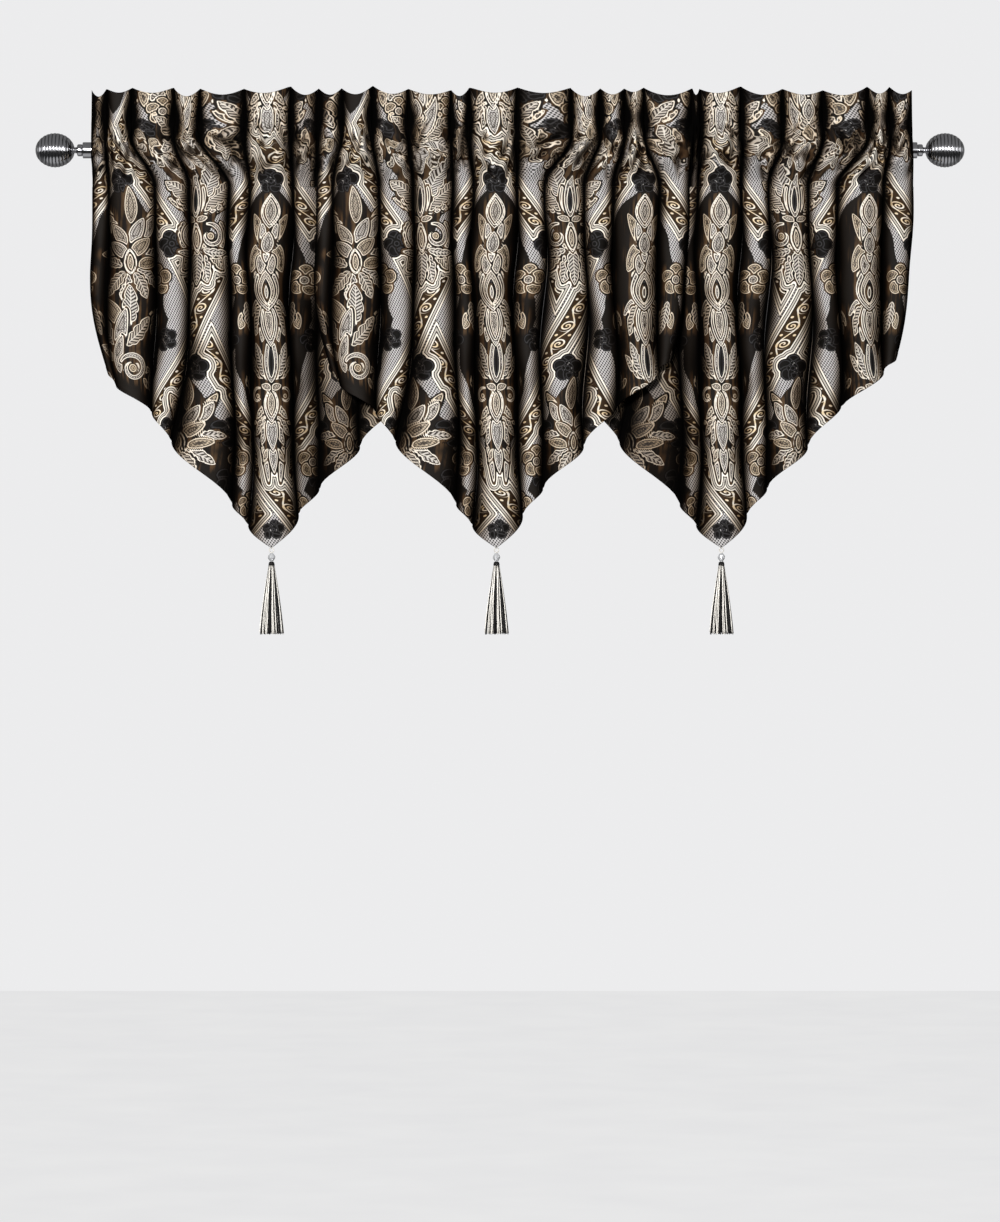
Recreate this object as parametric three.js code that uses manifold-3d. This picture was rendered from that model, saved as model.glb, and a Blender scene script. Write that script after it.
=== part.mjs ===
// Ascot valance on a curtain rod: three pointed damask panels hang under one gathered heading.
// Millimetres, +Z up. The origin is the middle of the rod's axis, +X runs along the rod and the
// front of the cloth faces -Y.

import * as THREE from 'three';
import * as BufferGeometryUtils from 'three/addons/utils/BufferGeometryUtils.js';
import Module from 'manifold-3d';

const wasm = await Module();
wasm.setup();

// Driving dimensions

const GAP = 0.3; // air between neighbouring pieces
const CLOTH = 1.6; // thickness of the damask with its turned-in edges

const ROD = { diameter: 25.4, halfLength: 659, sides: 32 };

const FINIAL = {
  collarDiameter: 19,
  collarLength: 8.7,
  neckDiameter: 9,
  neckLength: 4,
  ballDiameter: 54,
  ballLength: 62,
  ribs: 11,
  ribDepth: 1.7,
  edgeRound: 2.4, // rounding of the collar's two edges
  sides: 24,
};

const SEAM_Z = -58; // lower stitch line: the heading ends and the panels begin
const STITCH_Z = 20.5; // upper stitch line: the rod pocket ends and the header frill begins
const HEADER_TOP = { crease: 97, ridge: 87 }; // the frill stands highest at its creases
const SEAM_WAVE = 0.16; // share of a fold's depth that is left at the lower stitch line

const PANEL = {
  tip: -629, // height of the point
  openDrop: 90, // below the seam, the folds reach their full depth within this drop
  hemRelax: 0.08, // share of the depth that the folds lose towards the hem
};

// Folds of a panel from its left edge: where each fold ends, from the line of the point, how far
// its ridge stands forward, and at the hem how far that end sways sideways and how low it hangs.
const PANEL_EDGE = { end: -284, sway: 22, hem: -352 };
const PANEL_FOLDS = [
  { end: -258, depth: 8, sway: 12, hem: -370 },
  { end: -185, depth: 28, sway: 3, hem: -414 },
  { end: -131, depth: 21, sway: -21, hem: -460 },
  { end: -68, depth: 26, sway: 11, hem: -560 },
  { end: -35, depth: 14, sway: 1, hem: -593 },
  { end: 33, depth: 31, sway: 2, hem: -577 },
  { end: 76, depth: 17, sway: -2, hem: -535 },
  { end: 139, depth: 26, sway: 3, hem: -468 },
  { end: 185, depth: 18, sway: 3, hem: -405 },
  { end: 258, depth: 29, sway: 0, hem: -349 },
  { end: 305, depth: 20, sway: -24, hem: -330 },
];

// The panels: the line of the point, how far back the creases lie, and the stretch, from that
// line, in which a side panel passes behind the middle one.
const PANELS = [
  { name: 'left', point: -360, base: 0.5, tuck: { from: 35, to: 72 } },
  { name: 'middle', point: -6, base: -2.5, tuck: null },
  { name: 'right', point: 348, base: 0.5, tuck: { from: -25, to: -65 } },
];
const TUCK = { seam: 5, low: 22, drop: 120, depthLoss: 0.5 };

// Gathers of the heading, in three runs: left panel, middle panel (one layer further forward) and
// right panel. Each row says where a gather ends in the frill (head) and at the seam (foot), and
// the depth of the fold below it.
const MIDDLE_LAYER = 3;
const HEADING_RUNS = [
  {
    layer: 0,
    start: { head: -645, foot: -644 },
    gathers: [
      { head: -622, foot: -618, depth: 8 },
      { head: -581, foot: -545, depth: 28 },
      { head: -515, foot: -491, depth: 21 },
      { head: -474, foot: -428, depth: 26 },
      { head: -404, foot: -395, depth: 14 },
      { head: -330, foot: -327, depth: 31 },
      { head: -287, foot: -291, depth: 17 },
    ],
  },
  {
    layer: MIDDLE_LAYER,
    start: { head: -286, foot: -290 },
    gathers: [
      { head: -250, foot: -264, depth: 8 },
      { head: -201, foot: -191, depth: 28 },
      { head: -145, foot: -137, depth: 21 },
      { head: -77, foot: -74, depth: 26 },
      { head: -49, foot: -41, depth: 14 },
      { head: 27, foot: 27, depth: 31 },
      { head: 112, foot: 70, depth: 17 },
      { head: 158, foot: 133, depth: 26 },
      { head: 196, foot: 179, depth: 18 },
      { head: 228, foot: 252, depth: 29 },
      { head: 303, foot: 299, depth: 20 },
    ],
  },
  {
    layer: 0,
    start: { head: 304, foot: 300 },
    gathers: [
      { head: 315, foot: 313, depth: 7 },
      { head: 381, foot: 381, depth: 31 },
      { head: 446, foot: 424, depth: 17 },
      { head: 510, foot: 487, depth: 26 },
      { head: 580, foot: 533, depth: 18 },
      { head: 615, foot: 606, depth: 29 },
      { head: 651, foot: 653, depth: 20 },
    ],
  },
];

// Section of the heading from the seam up: height, front and back of the cloth in a crease, and
// the share of a fold's depth by which the front and the back move forward on a ridge.
const POCKET_LEVELS = [
  { z: SEAM_Z, front: -0.3, back: 8, frontWave: SEAM_WAVE, backWave: 0 },
  { z: -38, front: -7, back: 10, frontWave: 0.26, backWave: -0.1 },
  { z: -10, front: -15.8, back: 15.8, frontWave: 0.28, backWave: -0.14 },
  { z: 6, front: -15.5, back: 15.5, frontWave: 0.25, backWave: -0.14 },
];
const FRILL_LEVELS = [
  { rise: 0, front: -3.4, back: 3.4, wave: 0.15 },
  { rise: 0.45, front: -2, back: 1.4, wave: 0.3 },
  { rise: 1, front: -1, back: 2.2, wave: 0.34 },
];
const FRILL_SETBACK = 0.4; // share of a gather's wave that lies behind the mean line of the frill
const FRILL_LAYER = 0.7; // the middle panel's extra layer is pressed flatter in the frill

// Inside of the rod pocket, back half from the top down; the front half follows the gathers.
const TUNNEL = [
  { y: 0, z: 13.3 },
  { y: 7.8, z: 12.2 },
  { y: 14, z: 3.2 },
  { y: 14, z: -8 },
  { y: 7.5, z: -30 },
  { y: 2.5, z: -46 },
];
const TUNNEL_WAVE = 0.22; // share of a fold's depth that the inside of the pocket follows

const LOOP = { diameter: 7.4, cord: 1.2, cordSides: 6, steps: 14 };
const BEAD = { diameter: 12, height: 13, sides: 8 };
const TASSEL = { headDiameter: 10, headHeight: 8.2, headSides: 12, skirtLength: 106.5 };
const STRAND = { radius: 0.75, sides: 3, steps: 3, rootDepth: 3 }; // roots reach up into the head

// Turned profiles from the bottom up, as shares of the radius and of the height.
const BEAD_PROFILE = [
  { radius: 0, height: 0 },
  { radius: 0.45, height: 0 },
  { radius: 1, height: 0.38 },
  { radius: 1, height: 0.62 },
  { radius: 0.45, height: 1 },
  { radius: 0, height: 1 },
];
const TASSEL_HEAD_PROFILE = [
  { radius: 0, height: 0 },
  { radius: 0.94, height: 0 },
  { radius: 1, height: 0.45 },
  { radius: 0.86, height: 0.84 },
  { radius: 0.6, height: 1 },
  { radius: 0, height: 1 },
];

// The skirt: rings of strands with their radius at the head and at the foot, and how a strand
// swings out on its way down, as shares of its swing and of its length.
const STRAND_RINGS = [
  { count: 14, root: 3.9, foot: 17 },
  { count: 9, root: 2.4, foot: 11 },
  { count: 4, root: 1.1, foot: 5 },
];
const STRAND_SWING = [
  { out: 0.42, down: 0.3 },
  { out: 0.76, down: 0.66 },
  { out: 1, down: 1 },
];

const TURNS_PER_FOLD = 4; // flat strips across one fold
const TUNNEL_TURNS = 2; // flat strips across one fold inside the rod pocket
const PANEL_ROWS = [0, 0.06, 0.14, 0.25, 0.42, 0.6, 0.8, 1]; // share of the drop at each row
const ARC_STEPS = 16; // steps when a fold's length is measured along the cloth
const MERGE = 1e-4; // points closer than this are one point

const COLOURS = {
  damask: { color: 0x4a423a, roughness: 0.55, metalness: 0 },
  nickel: { color: 0xb9bbc0, roughness: 0.22, metalness: 1 },
  yarn: { color: 0xa79f93, roughness: 0.6, metalness: 0 },
  bead: { color: 0xd9dcdf, roughness: 0.08, metalness: 0 },
  cord: { color: 0x1d1b1a, roughness: 0.7, metalness: 0 },
};

// Small helpers

const smooth = (value) => THREE.MathUtils.smoothstep(value, 0, 1);
const lerp = THREE.MathUtils.lerp;

function solidMesh(name, geometry, look) {
  const mesh = new THREE.Mesh(geometry, new THREE.MeshStandardMaterial(COLOURS[look]));
  mesh.name = name;
  return mesh;
}

function addQuad(triangles, a, b, c, d) {
  triangles.push([a, b, c], [a, c, d]);
}

function geometryOf(triangles) {
  const geometry = new THREE.BufferGeometry().setFromPoints(triangles.flat());
  geometry.computeVertexNormals();
  return geometry;
}

// Closed sheet between a front and a back grid of points: columns run to +X, rows run down.
function sheetGeometry(front, back) {
  const triangles = [];
  const lastColumn = front.length - 1;
  const lastRow = front[0].length - 1;
  for (let i = 0; i < lastColumn; i++) {
    for (let j = 0; j < lastRow; j++) {
      addQuad(triangles, front[i][j], front[i][j + 1], front[i + 1][j + 1], front[i + 1][j]);
      addQuad(triangles, back[i][j], back[i + 1][j], back[i + 1][j + 1], back[i][j + 1]);
    }
    addQuad(triangles, front[i][0], front[i + 1][0], back[i + 1][0], back[i][0]);
    addQuad(triangles, front[i][lastRow], back[i][lastRow], back[i + 1][lastRow], front[i + 1][lastRow]);
  }
  for (let j = 0; j < lastRow; j++) {
    addQuad(triangles, front[0][j], back[0][j], back[0][j + 1], front[0][j + 1]);
    addQuad(triangles, front[lastColumn][j], front[lastColumn][j + 1],
      back[lastColumn][j + 1], back[lastColumn][j]);
  }
  return geometryOf(triangles);
}

// Solid of revolution about the Z axis from [radius, height] pairs, lowest first.
function turnedGeometry(pairs, sides) {
  const profile = pairs.map(([radius, height]) => new THREE.Vector2(radius, height));
  return new THREE.LatheGeometry(profile, sides).rotateX(Math.PI / 2);
}

function toManifold(geometry) {
  const bare = geometry.clone();
  bare.deleteAttribute('normal');
  bare.deleteAttribute('uv');
  const merged = BufferGeometryUtils.mergeVertices(bare, MERGE);
  return new wasm.Manifold(new wasm.Mesh({
    numProp: 3,
    vertProperties: new Float32Array(merged.attributes.position.array),
    triVerts: new Uint32Array(merged.index.array),
  }));
}

function fromManifold(solid) {
  const mesh = solid.getMesh();
  const geometry = new THREE.BufferGeometry();
  geometry.setAttribute('position', new THREE.BufferAttribute(mesh.vertProperties, 3));
  geometry.setIndex(new THREE.BufferAttribute(mesh.triVerts, 1));
  geometry.computeVertexNormals();
  return geometry;
}

// Panels: each fold is half an ellipse seen from above

function panelColumns() {
  const columns = [];
  let from = PANEL_EDGE;
  PANEL_FOLDS.forEach((fold, index) => {
    const firstTurn = index === 0 ? 0 : 1;
    for (let step = firstTurn; step <= TURNS_PER_FOLD; step++) {
      columns.push({ from, to: fold, depth: fold.depth, turn: (Math.PI * step) / TURNS_PER_FOLD });
    }
    from = fold;
  });
  return columns;
}

const isPointColumn = ({ from, to, turn }) => from.end < 0 && to.end > 0 && turn === Math.PI / 2;

// Length along the cloth from the start of a column's fold to that column.
function arcLength({ from, to, depth }, turn) {
  const half = (to.end - from.end) / 2;
  const step = turn / ARC_STEPS;
  let length = 0;
  for (let k = 0; k < ARC_STEPS; k++) {
    const angle = (k + 0.5) * step;
    length += Math.hypot(half * Math.sin(angle), depth * Math.cos(angle)) * step;
  }
  return length;
}

// Height of the hem at each column: along the cloth it runs straight from crease to crease, and
// the fold in the middle runs down to the point and up again.
function hemHeights(columns) {
  return columns.map((column) => {
    const share = arcLength(column, column.turn) / arcLength(column, Math.PI);
    const { from, to } = column;
    if (from.end > 0 || to.end < 0) return lerp(from.hem, to.hem, share);
    return share < 0.5 ? lerp(from.hem, PANEL.tip, 2 * share) : lerp(PANEL.tip, to.hem, 2 * share - 1);
  });
}

// Middle of the cloth at a column and a height; rowShare is 0 at the seam and 1 at the hem.
function panelPoint(panel, column, z, rowShare) {
  const { from, to, turn } = column;
  const across = (1 - Math.cos(turn)) / 2;
  const sway = lerp(from.sway, to.sway, across) * rowShare ** 3;
  const x = lerp(from.end, to.end, across) + sway;
  const drop = SEAM_Z - z;
  let depth = column.depth * lerp(SEAM_WAVE, 1, smooth(drop / PANEL.openDrop));
  depth *= 1 - PANEL.hemRelax * rowShare ** 2;
  let back = 0;
  if (panel.tuck) {
    const tucked = smooth((x - panel.tuck.from) / (panel.tuck.to - panel.tuck.from));
    back = tucked * lerp(TUCK.seam, TUCK.low, smooth(drop / TUCK.drop));
    depth *= 1 - TUCK.depthLoss * tucked;
  }
  return new THREE.Vector3(panel.point + x, panel.base + back - depth * Math.sin(turn), z);
}

// Mitred sideways normals of a row of points, pointing to the front of the cloth.
function frontNormals(row) {
  const segments = row.slice(1).map((point, i) => {
    const along = new THREE.Vector2(point.x - row[i].x, point.y - row[i].y).normalize();
    return new THREE.Vector2(along.y, -along.x);
  });
  return row.map((_, i) => {
    const before = segments[Math.max(i - 1, 0)];
    const after = segments[Math.min(i, segments.length - 1)];
    return before.clone().add(after).divideScalar(1 + before.dot(after));
  });
}

function panelGeometry(panel) {
  const columns = panelColumns();
  const hem = hemHeights(columns);
  const top = SEAM_Z - GAP;
  const front = columns.map(() => []);
  const back = columns.map(() => []);
  PANEL_ROWS.forEach((share) => {
    const row = columns.map((column, i) => panelPoint(panel, column, lerp(top, hem[i], share), share));
    frontNormals(row).forEach((normal, i) => {
      const offset = new THREE.Vector3(normal.x, normal.y, 0).multiplyScalar(CLOTH / 2);
      front[i].push(row[i].clone().add(offset));
      back[i].push(row[i].clone().sub(offset));
    });
  });
  return sheetGeometry(front, back);
}

// Where the tassel hangs: the ridge of the middle fold at the point.
function panelTip(panel) {
  return panelPoint(panel, panelColumns().find(isPointColumn), PANEL.tip, 1);
}

// Heading: a tube of cloth round the rod with a frill that stands above it

function headingStations(turnsPerFold) {
  const stations = [];
  HEADING_RUNS.forEach((run) => {
    let from = run.start;
    run.gathers.forEach((gather, index) => {
      const firstTurn = index === 0 ? 0 : 1;
      for (let step = firstTurn; step <= turnsPerFold; step++) {
        const turn = (Math.PI * step) / turnsPerFold;
        const across = (1 - Math.cos(turn)) / 2;
        stations.push({
          head: lerp(from.head, gather.head, across),
          foot: lerp(from.foot, gather.foot, across),
          depth: gather.depth,
          stand: gather.depth * Math.sin(turn),
          layer: run.layer,
        });
      }
      from = gather;
    });
  });
  return stations;
}

function stationX(station, z) {
  return lerp(station.foot, station.head, smooth((z - SEAM_Z) / (STITCH_Z - SEAM_Z)));
}

// Outer section at one station: up the back, then down the front.
function outerSection(station) {
  const front = [];
  const back = [];
  POCKET_LEVELS.forEach((level) => {
    const x = stationX(station, level.z);
    const frontY = level.front - station.layer - level.frontWave * station.stand;
    front.push(new THREE.Vector3(x, frontY, level.z));
    back.push(new THREE.Vector3(x, level.back - level.backWave * station.stand, level.z));
  });
  const onRidge = station.stand / station.depth;
  const top = lerp(HEADER_TOP.crease, HEADER_TOP.ridge, onRidge);
  FRILL_LEVELS.forEach((level) => {
    const z = lerp(STITCH_Z, top, level.rise);
    const x = stationX(station, z);
    const shift = level.wave * (station.stand - FRILL_SETBACK * station.depth);
    front.push(new THREE.Vector3(x, level.front - FRILL_LAYER * station.layer - shift, z));
    back.push(new THREE.Vector3(x, level.back - shift, z));
  });
  return [...back, ...front.reverse()];
}

// Inside of the pocket at one station, the same way round as the outer section.
function tunnelSection(station) {
  const back = TUNNEL.map(({ y, z }) => new THREE.Vector3(stationX(station, z), y, z)).reverse();
  const front = TUNNEL.slice(1).map(({ y, z }) => {
    const follow = TUNNEL_WAVE * station.stand * (y / TUNNEL[2].y);
    return new THREE.Vector3(stationX(station, z), -y - follow, z);
  });
  return [...back, ...front];
}

function headingGeometry() {
  const triangles = [];
  const outer = headingStations(TURNS_PER_FOLD).map(outerSection);
  const inner = headingStations(TUNNEL_TURNS).map(tunnelSection);

  const wrap = (loops, outward) => {
    for (let i = 0; i + 1 < loops.length; i++) {
      loops[i].forEach((point, k) => {
        const next = (k + 1) % loops[i].length;
        const ring = [point, loops[i][next], loops[i + 1][next], loops[i + 1][k]];
        if (!outward) ring.reverse();
        addQuad(triangles, ...ring);
      });
    }
  };
  wrap(outer, true);
  wrap(inner, false);

  const capEnd = (contour, hole, facesRight) => {
    const flat = (point) => new THREE.Vector2(point.y, point.z);
    const points = [...contour, ...hole];
    const faces = THREE.ShapeUtils.triangulateShape(contour.map(flat), [hole.map(flat)]);
    faces.forEach(([a, b, c]) => {
      const corners = [points[a], points[b], points[c]];
      if (!facesRight) corners.reverse();
      triangles.push(corners);
    });
  };
  capEnd(outer[0], inner[0], false);
  capEnd(outer[outer.length - 1], inner[inner.length - 1], true);
  return geometryOf(triangles);
}

// Rod and finials

function rodGeometry() {
  const radius = ROD.diameter / 2;
  const geometry = new THREE.CylinderGeometry(radius, radius, 2 * ROD.halfLength, ROD.sides);
  return geometry.rotateZ(Math.PI / 2);
}

// Finial on the +X end: collar, neck and a ball with turned ribs round the rod's axis.
function finialGeometry() {
  const collar = FINIAL.collarDiameter / 2;
  const neck = FINIAL.neckDiameter / 2;
  const ball = FINIAL.ballDiameter / 2;
  const round = FINIAL.edgeRound;
  const start = GAP;
  const neckStart = start + FINIAL.collarLength;
  const ballStart = neckStart + FINIAL.neckLength;
  const pairs = [
    [0, start],
    [collar - round, start],
    [collar, start + round],
    [collar, neckStart - round],
    [collar - round, neckStart],
    [neck, neckStart],
    [neck, ballStart],
  ];
  const ribLength = FINIAL.ballLength / FINIAL.ribs;
  const ballRadius = (along) => ball * Math.sqrt(1 - ((2 * along) / FINIAL.ballLength - 1) ** 2);
  for (let rib = 0; rib < FINIAL.ribs; rib++) {
    const along = rib * ribLength;
    if (rib > 0) pairs.push([ballRadius(along) - FINIAL.ribDepth, ballStart + along]);
    pairs.push([ballRadius(along + ribLength / 2), ballStart + along + ribLength / 2]);
  }
  pairs.push([0, ballStart + FINIAL.ballLength]);
  return turnedGeometry(pairs, FINIAL.sides).rotateY(Math.PI / 2).translate(ROD.halfLength, 0, 0);
}

// Tassels

function loopGeometry() {
  const cord = LOOP.cord / 2;
  const ring = new THREE.TorusGeometry(LOOP.diameter / 2 - cord, cord, LOOP.cordSides, LOOP.steps);
  return ring.rotateX(Math.PI / 2);
}

// Turned piece that hangs down from its top.
function hangingTurn(profile, diameter, height, sides) {
  const pairs = profile.map((share) => [(share.radius * diameter) / 2, (share.height - 1) * height]);
  return turnedGeometry(pairs, sides);
}

// One strand of the skirt: it leaves the head and swings out to its foot.
function strandGeometry(ring, angle) {
  const at = (radius, z) => new THREE.Vector3(radius * Math.cos(angle), radius * Math.sin(angle), z);
  const path = new THREE.CatmullRomCurve3([
    at(ring.root, STRAND.rootDepth - TASSEL.headHeight),
    ...STRAND_SWING.map(({ out, down }) => at(
      lerp(ring.root, ring.foot, out),
      -TASSEL.headHeight - TASSEL.skirtLength * down,
    )),
  ]);
  const corners = Array.from({ length: STRAND.sides }, (_, k) => {
    const turn = (2 * Math.PI * k) / STRAND.sides;
    return new THREE.Vector2(STRAND.radius * Math.cos(turn), STRAND.radius * Math.sin(turn));
  });
  return new THREE.ExtrudeGeometry(new THREE.Shape(corners), { steps: STRAND.steps, extrudePath: path });
}

function tasselGeometry() {
  const head = hangingTurn(TASSEL_HEAD_PROFILE, TASSEL.headDiameter, TASSEL.headHeight, TASSEL.headSides);
  let solid = toManifold(head);
  STRAND_RINGS.forEach((ring, ringIndex) => {
    for (let k = 0; k < ring.count; k++) {
      const angle = (2 * Math.PI * (k + ringIndex / 2)) / ring.count;
      solid = solid.add(toManifold(strandGeometry(ring, angle)));
    }
  });
  return fromManifold(solid);
}

// The whole object

const valance = new THREE.Group();

valance.add(solidMesh('rod', rodGeometry(), 'nickel'));
valance.add(solidMesh('finial_right', finialGeometry(), 'nickel'));
const finialLeft = solidMesh('finial_left', finialGeometry(), 'nickel');
finialLeft.rotation.z = Math.PI;
valance.add(finialLeft);
valance.add(solidMesh('heading', headingGeometry(), 'damask'));

PANELS.forEach((panel) => {
  valance.add(solidMesh(`panel_${panel.name}`, panelGeometry(panel), 'damask'));

  const tip = panelTip(panel);
  const loopTop = tip.z - GAP;
  const beadTop = loopTop - LOOP.diameter - GAP;
  const headTop = beadTop - BEAD.height - GAP;
  const loop = solidMesh(`tassel_loop_${panel.name}`, loopGeometry(), 'cord');
  loop.position.set(tip.x, tip.y, loopTop - LOOP.diameter / 2);
  const beadTurn = hangingTurn(BEAD_PROFILE, BEAD.diameter, BEAD.height, BEAD.sides);
  const bead = solidMesh(`tassel_bead_${panel.name}`, beadTurn, 'bead');
  bead.position.set(tip.x, tip.y, beadTop);
  const tassel = solidMesh(`tassel_${panel.name}`, tasselGeometry(), 'yarn');
  tassel.position.set(tip.x, tip.y, headTop);
  valance.add(loop, bead, tassel);
});

export default valance;
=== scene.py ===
"""Ascot valance on a curtain rod: three pointed damask panels with tassels under a gathered heading.

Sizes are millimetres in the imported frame's axes: the origin is the middle of the rod's axis, +X
runs along the rod, the front of the cloth faces -Y and +Z is up. Meshes are made in metres.
"""

import math
from collections import namedtuple
from types import SimpleNamespace as Sizes

import bpy
import numpy as np
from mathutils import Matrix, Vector
from mathutils.geometry import tessellate_polygon


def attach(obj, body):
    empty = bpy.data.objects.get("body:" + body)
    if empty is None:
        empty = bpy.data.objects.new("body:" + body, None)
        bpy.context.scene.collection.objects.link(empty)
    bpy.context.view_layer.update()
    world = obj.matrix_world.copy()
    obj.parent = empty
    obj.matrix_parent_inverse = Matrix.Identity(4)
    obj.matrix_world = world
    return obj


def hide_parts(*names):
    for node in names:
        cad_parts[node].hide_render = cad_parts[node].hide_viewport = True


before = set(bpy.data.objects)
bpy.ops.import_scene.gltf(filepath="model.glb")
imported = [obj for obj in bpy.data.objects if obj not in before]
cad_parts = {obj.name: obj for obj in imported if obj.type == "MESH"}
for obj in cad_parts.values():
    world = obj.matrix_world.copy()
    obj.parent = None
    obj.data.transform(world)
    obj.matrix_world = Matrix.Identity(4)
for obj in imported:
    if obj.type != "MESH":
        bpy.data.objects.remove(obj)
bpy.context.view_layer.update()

MM = 0.001
TURN = 2 * math.pi

# Cloth, rod and lines of sewing. They follow the solids, with thinner cloth and fuller folds.
CLOTH = 1.3
ROD = Sizes(radius=12.7, half_length=659.0, chamfer=0.8, straight=12.0, rings=12)
SEAM_Z = -58.0
STITCH_Z = 20.5
HEADER_TOP = Sizes(crease=97.5, ridge=86.5, sag=1.9)
TIP_Z = -629.0
SEAM_WAVE = 0.42  # share of a fold's depth at the seam
OPEN_DROP = 90.0  # below the seam, the length in which the folds open
DEPTH_GAIN = Sizes(above=1.32, hem=0.92)  # depth of the folds by their table, above the hem and at it

# Folds of a panel from its left edge: where each ends, from the line of the point, how far its
# ridge stands forward, and at the hem how far that end sways sideways and how low it hangs.
Fold = namedtuple("Fold", "end depth sway hem")
PANEL_FOLDS = [
    Fold(-284, 0, 22, -352),
    Fold(-258, 8, 12, -370),
    Fold(-185, 28, 3, -414),
    Fold(-131, 21, -21, -460),
    Fold(-68, 26, 11, -560),
    Fold(-35, 14, 1, -593),
    Fold(33, 31, 2, -577),
    Fold(76, 17, -2, -535),
    Fold(139, 26, 3, -468),
    Fold(185, 18, 3, -405),
    Fold(258, 29, 0, -349),
    Fold(305, 20, -24, -330),
]
FOLD_ENDS, FOLD_DEPTHS, FOLD_SWAYS, FOLD_HEMS = np.array(PANEL_FOLDS, float).T
POINT_FOLD = 6

# The panels: the line of the point, how far back the creases lie, and the stretch, from that
# line, in which a side panel passes behind the middle one.
Panel = namedtuple("Panel", "name point base tuck")
PANELS = [
    Panel("left", -360, 0.5, (35, 72)),
    Panel("middle", -6, -2.5, None),
    Panel("right", 348, 0.5, (-25, -65)),
]
# Cloth behind the middle panel: how far back it lies at the seam and, after a drop, low down, what its
# folds lose in depth, its painted shadow, and how far that painted shadow reaches along the heading
TUCK = Sizes(seam=5.0, low=22.0, drop=120.0, depth_loss=0.5, shade=0.6, reach=44.0)

# Gathers of the heading, as (head, foot) of each crease, in three runs. first is the panel fold
# that the run's first gather belongs to. The middle run lies one layer further forward.
Run = namedtuple("Run", "layer first creases")
HEADING_RUNS = [
    Run(0.0, 1, [(-645, -644), (-622, -618), (-581, -545), (-515, -491), (-474, -428),
                 (-404, -395), (-330, -327), (-287, -291)]),
    Run(3.0, 1, [(-286, -290), (-250, -264), (-201, -191), (-145, -137), (-77, -74), (-49, -41),
                 (27, 27), (112, 70), (158, 133), (196, 179), (228, 252), (303, 299)]),
    Run(0.0, 5, [(304, 300), (315, 313), (381, 381), (446, 424), (510, 487), (580, 533),
                 (615, 606), (651, 653)]),
]


def smooth(share):
    share = np.clip(share, 0, 1)
    return share * share * (3 - 2 * share)


def lerp(a, b, share):
    return a + (b - a) * share


def blur(values, sigma):
    """Gaussian blur of an evenly spaced row, with its ends carried on straight."""
    reach = int(4 * sigma)
    kernel = np.exp(-0.5 * (np.arange(-reach, reach + 1) / sigma) ** 2)
    before = 2 * values[0] - values[reach:0:-1]
    after = 2 * values[-1] - values[-2 : -reach - 2 : -1]
    padded = np.concatenate([before, values, after])
    return np.convolve(padded, kernel / kernel.sum(), mode="valid")


# Mesh helpers


def new_object(name, points, faces, materials, face_slots=None, sharp=False):
    """Mesh object from points in millimetres and blocks of faces, each block with its material slot."""
    mesh = bpy.data.meshes.new(name)
    counts = [len(block) for block in faces]
    sizes = np.repeat([block.shape[1] for block in faces], counts)
    corners = np.concatenate([block.ravel() for block in faces]).astype(np.int32)
    starts = np.append(0, np.cumsum(sizes)[:-1]).astype(np.int32)
    mesh.vertices.add(len(points))
    mesh.vertices.foreach_set("co", (np.asarray(points) * MM).astype(np.float32).ravel())
    mesh.loops.add(len(corners))
    mesh.loops.foreach_set("vertex_index", corners)
    mesh.polygons.add(len(sizes))
    mesh.polygons.foreach_set("loop_start", starts)
    if face_slots is not None:
        mesh.polygons.foreach_set("material_index", np.repeat(face_slots, counts).astype(np.int32))
    mesh.update(calc_edges=True)
    mesh.validate()
    mesh.polygons.foreach_set("use_smooth", np.full(len(sizes), not sharp))
    for material in materials:
        mesh.materials.append(material)
    piece = bpy.data.objects.new(name, mesh)
    bpy.context.scene.collection.objects.link(piece)
    return piece


def add_vectors(piece, name, columns):
    """Stores three numbers for each vertex, for the materials to read."""
    layer = piece.data.attributes.new(name, "FLOAT_VECTOR", "POINT")
    layer.data.foreach_set("vector", np.stack(columns, 1).astype(np.float32).ravel())


def add_map(piece, name, u, v):
    """UV map from one pair of numbers for each vertex."""
    mesh = piece.data
    corners = np.empty(len(mesh.loops), np.int32)
    mesh.loops.foreach_get("vertex_index", corners)
    layer = mesh.uv_layers.new(name=name)
    layer.uv.foreach_set("vector", np.stack([u, v], 1).astype(np.float32)[corners].ravel())


def keep_sharp(piece, row):
    """Keeps the shading apart along the edges inside a row of vertices."""
    mesh = piece.data
    pairs = np.empty(2 * len(mesh.edges), np.int32)
    mesh.edges.foreach_get("vertices", pairs)
    in_row = np.zeros(len(mesh.vertices), bool)
    in_row[row] = True
    layer = mesh.attributes.new("sharp_edge", "BOOLEAN", "EDGE")
    layer.data.foreach_set("value", in_row[pairs.reshape(-1, 2)].all(axis=1))


def grid_quads(columns, rows, start=0, flip=False, wrap=False):
    """Quads of a grid whose points are stored column by column."""
    index = start + np.arange(columns * rows).reshape(columns, rows)
    if wrap:
        index = np.concatenate([index, index[:, :1]], 1)
    a, b = index[:-1, :-1].ravel(), index[:-1, 1:].ravel()
    c, d = index[1:, 1:].ravel(), index[1:, :-1].ravel()
    return np.stack([d, c, b, a] if flip else [a, b, c, d], 1)


def settle(piece, node):
    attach(piece, "root")
    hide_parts(node)


# Damask: an ogee trellis with palmette columns, drawn in millimetres of flat cloth

TRELLIS = Sizes(width=332.0, height=540.0, top=2.0, swing=0.3, half_band=22.0)
TRELLIS_LEVELS = np.arange(-760.0, 340.0, 2.0)  # heights between which lengths along a band are summed
COLUMN_NARROW = 0.9
FAR = 60.0  # distance that stands for far away
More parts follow.
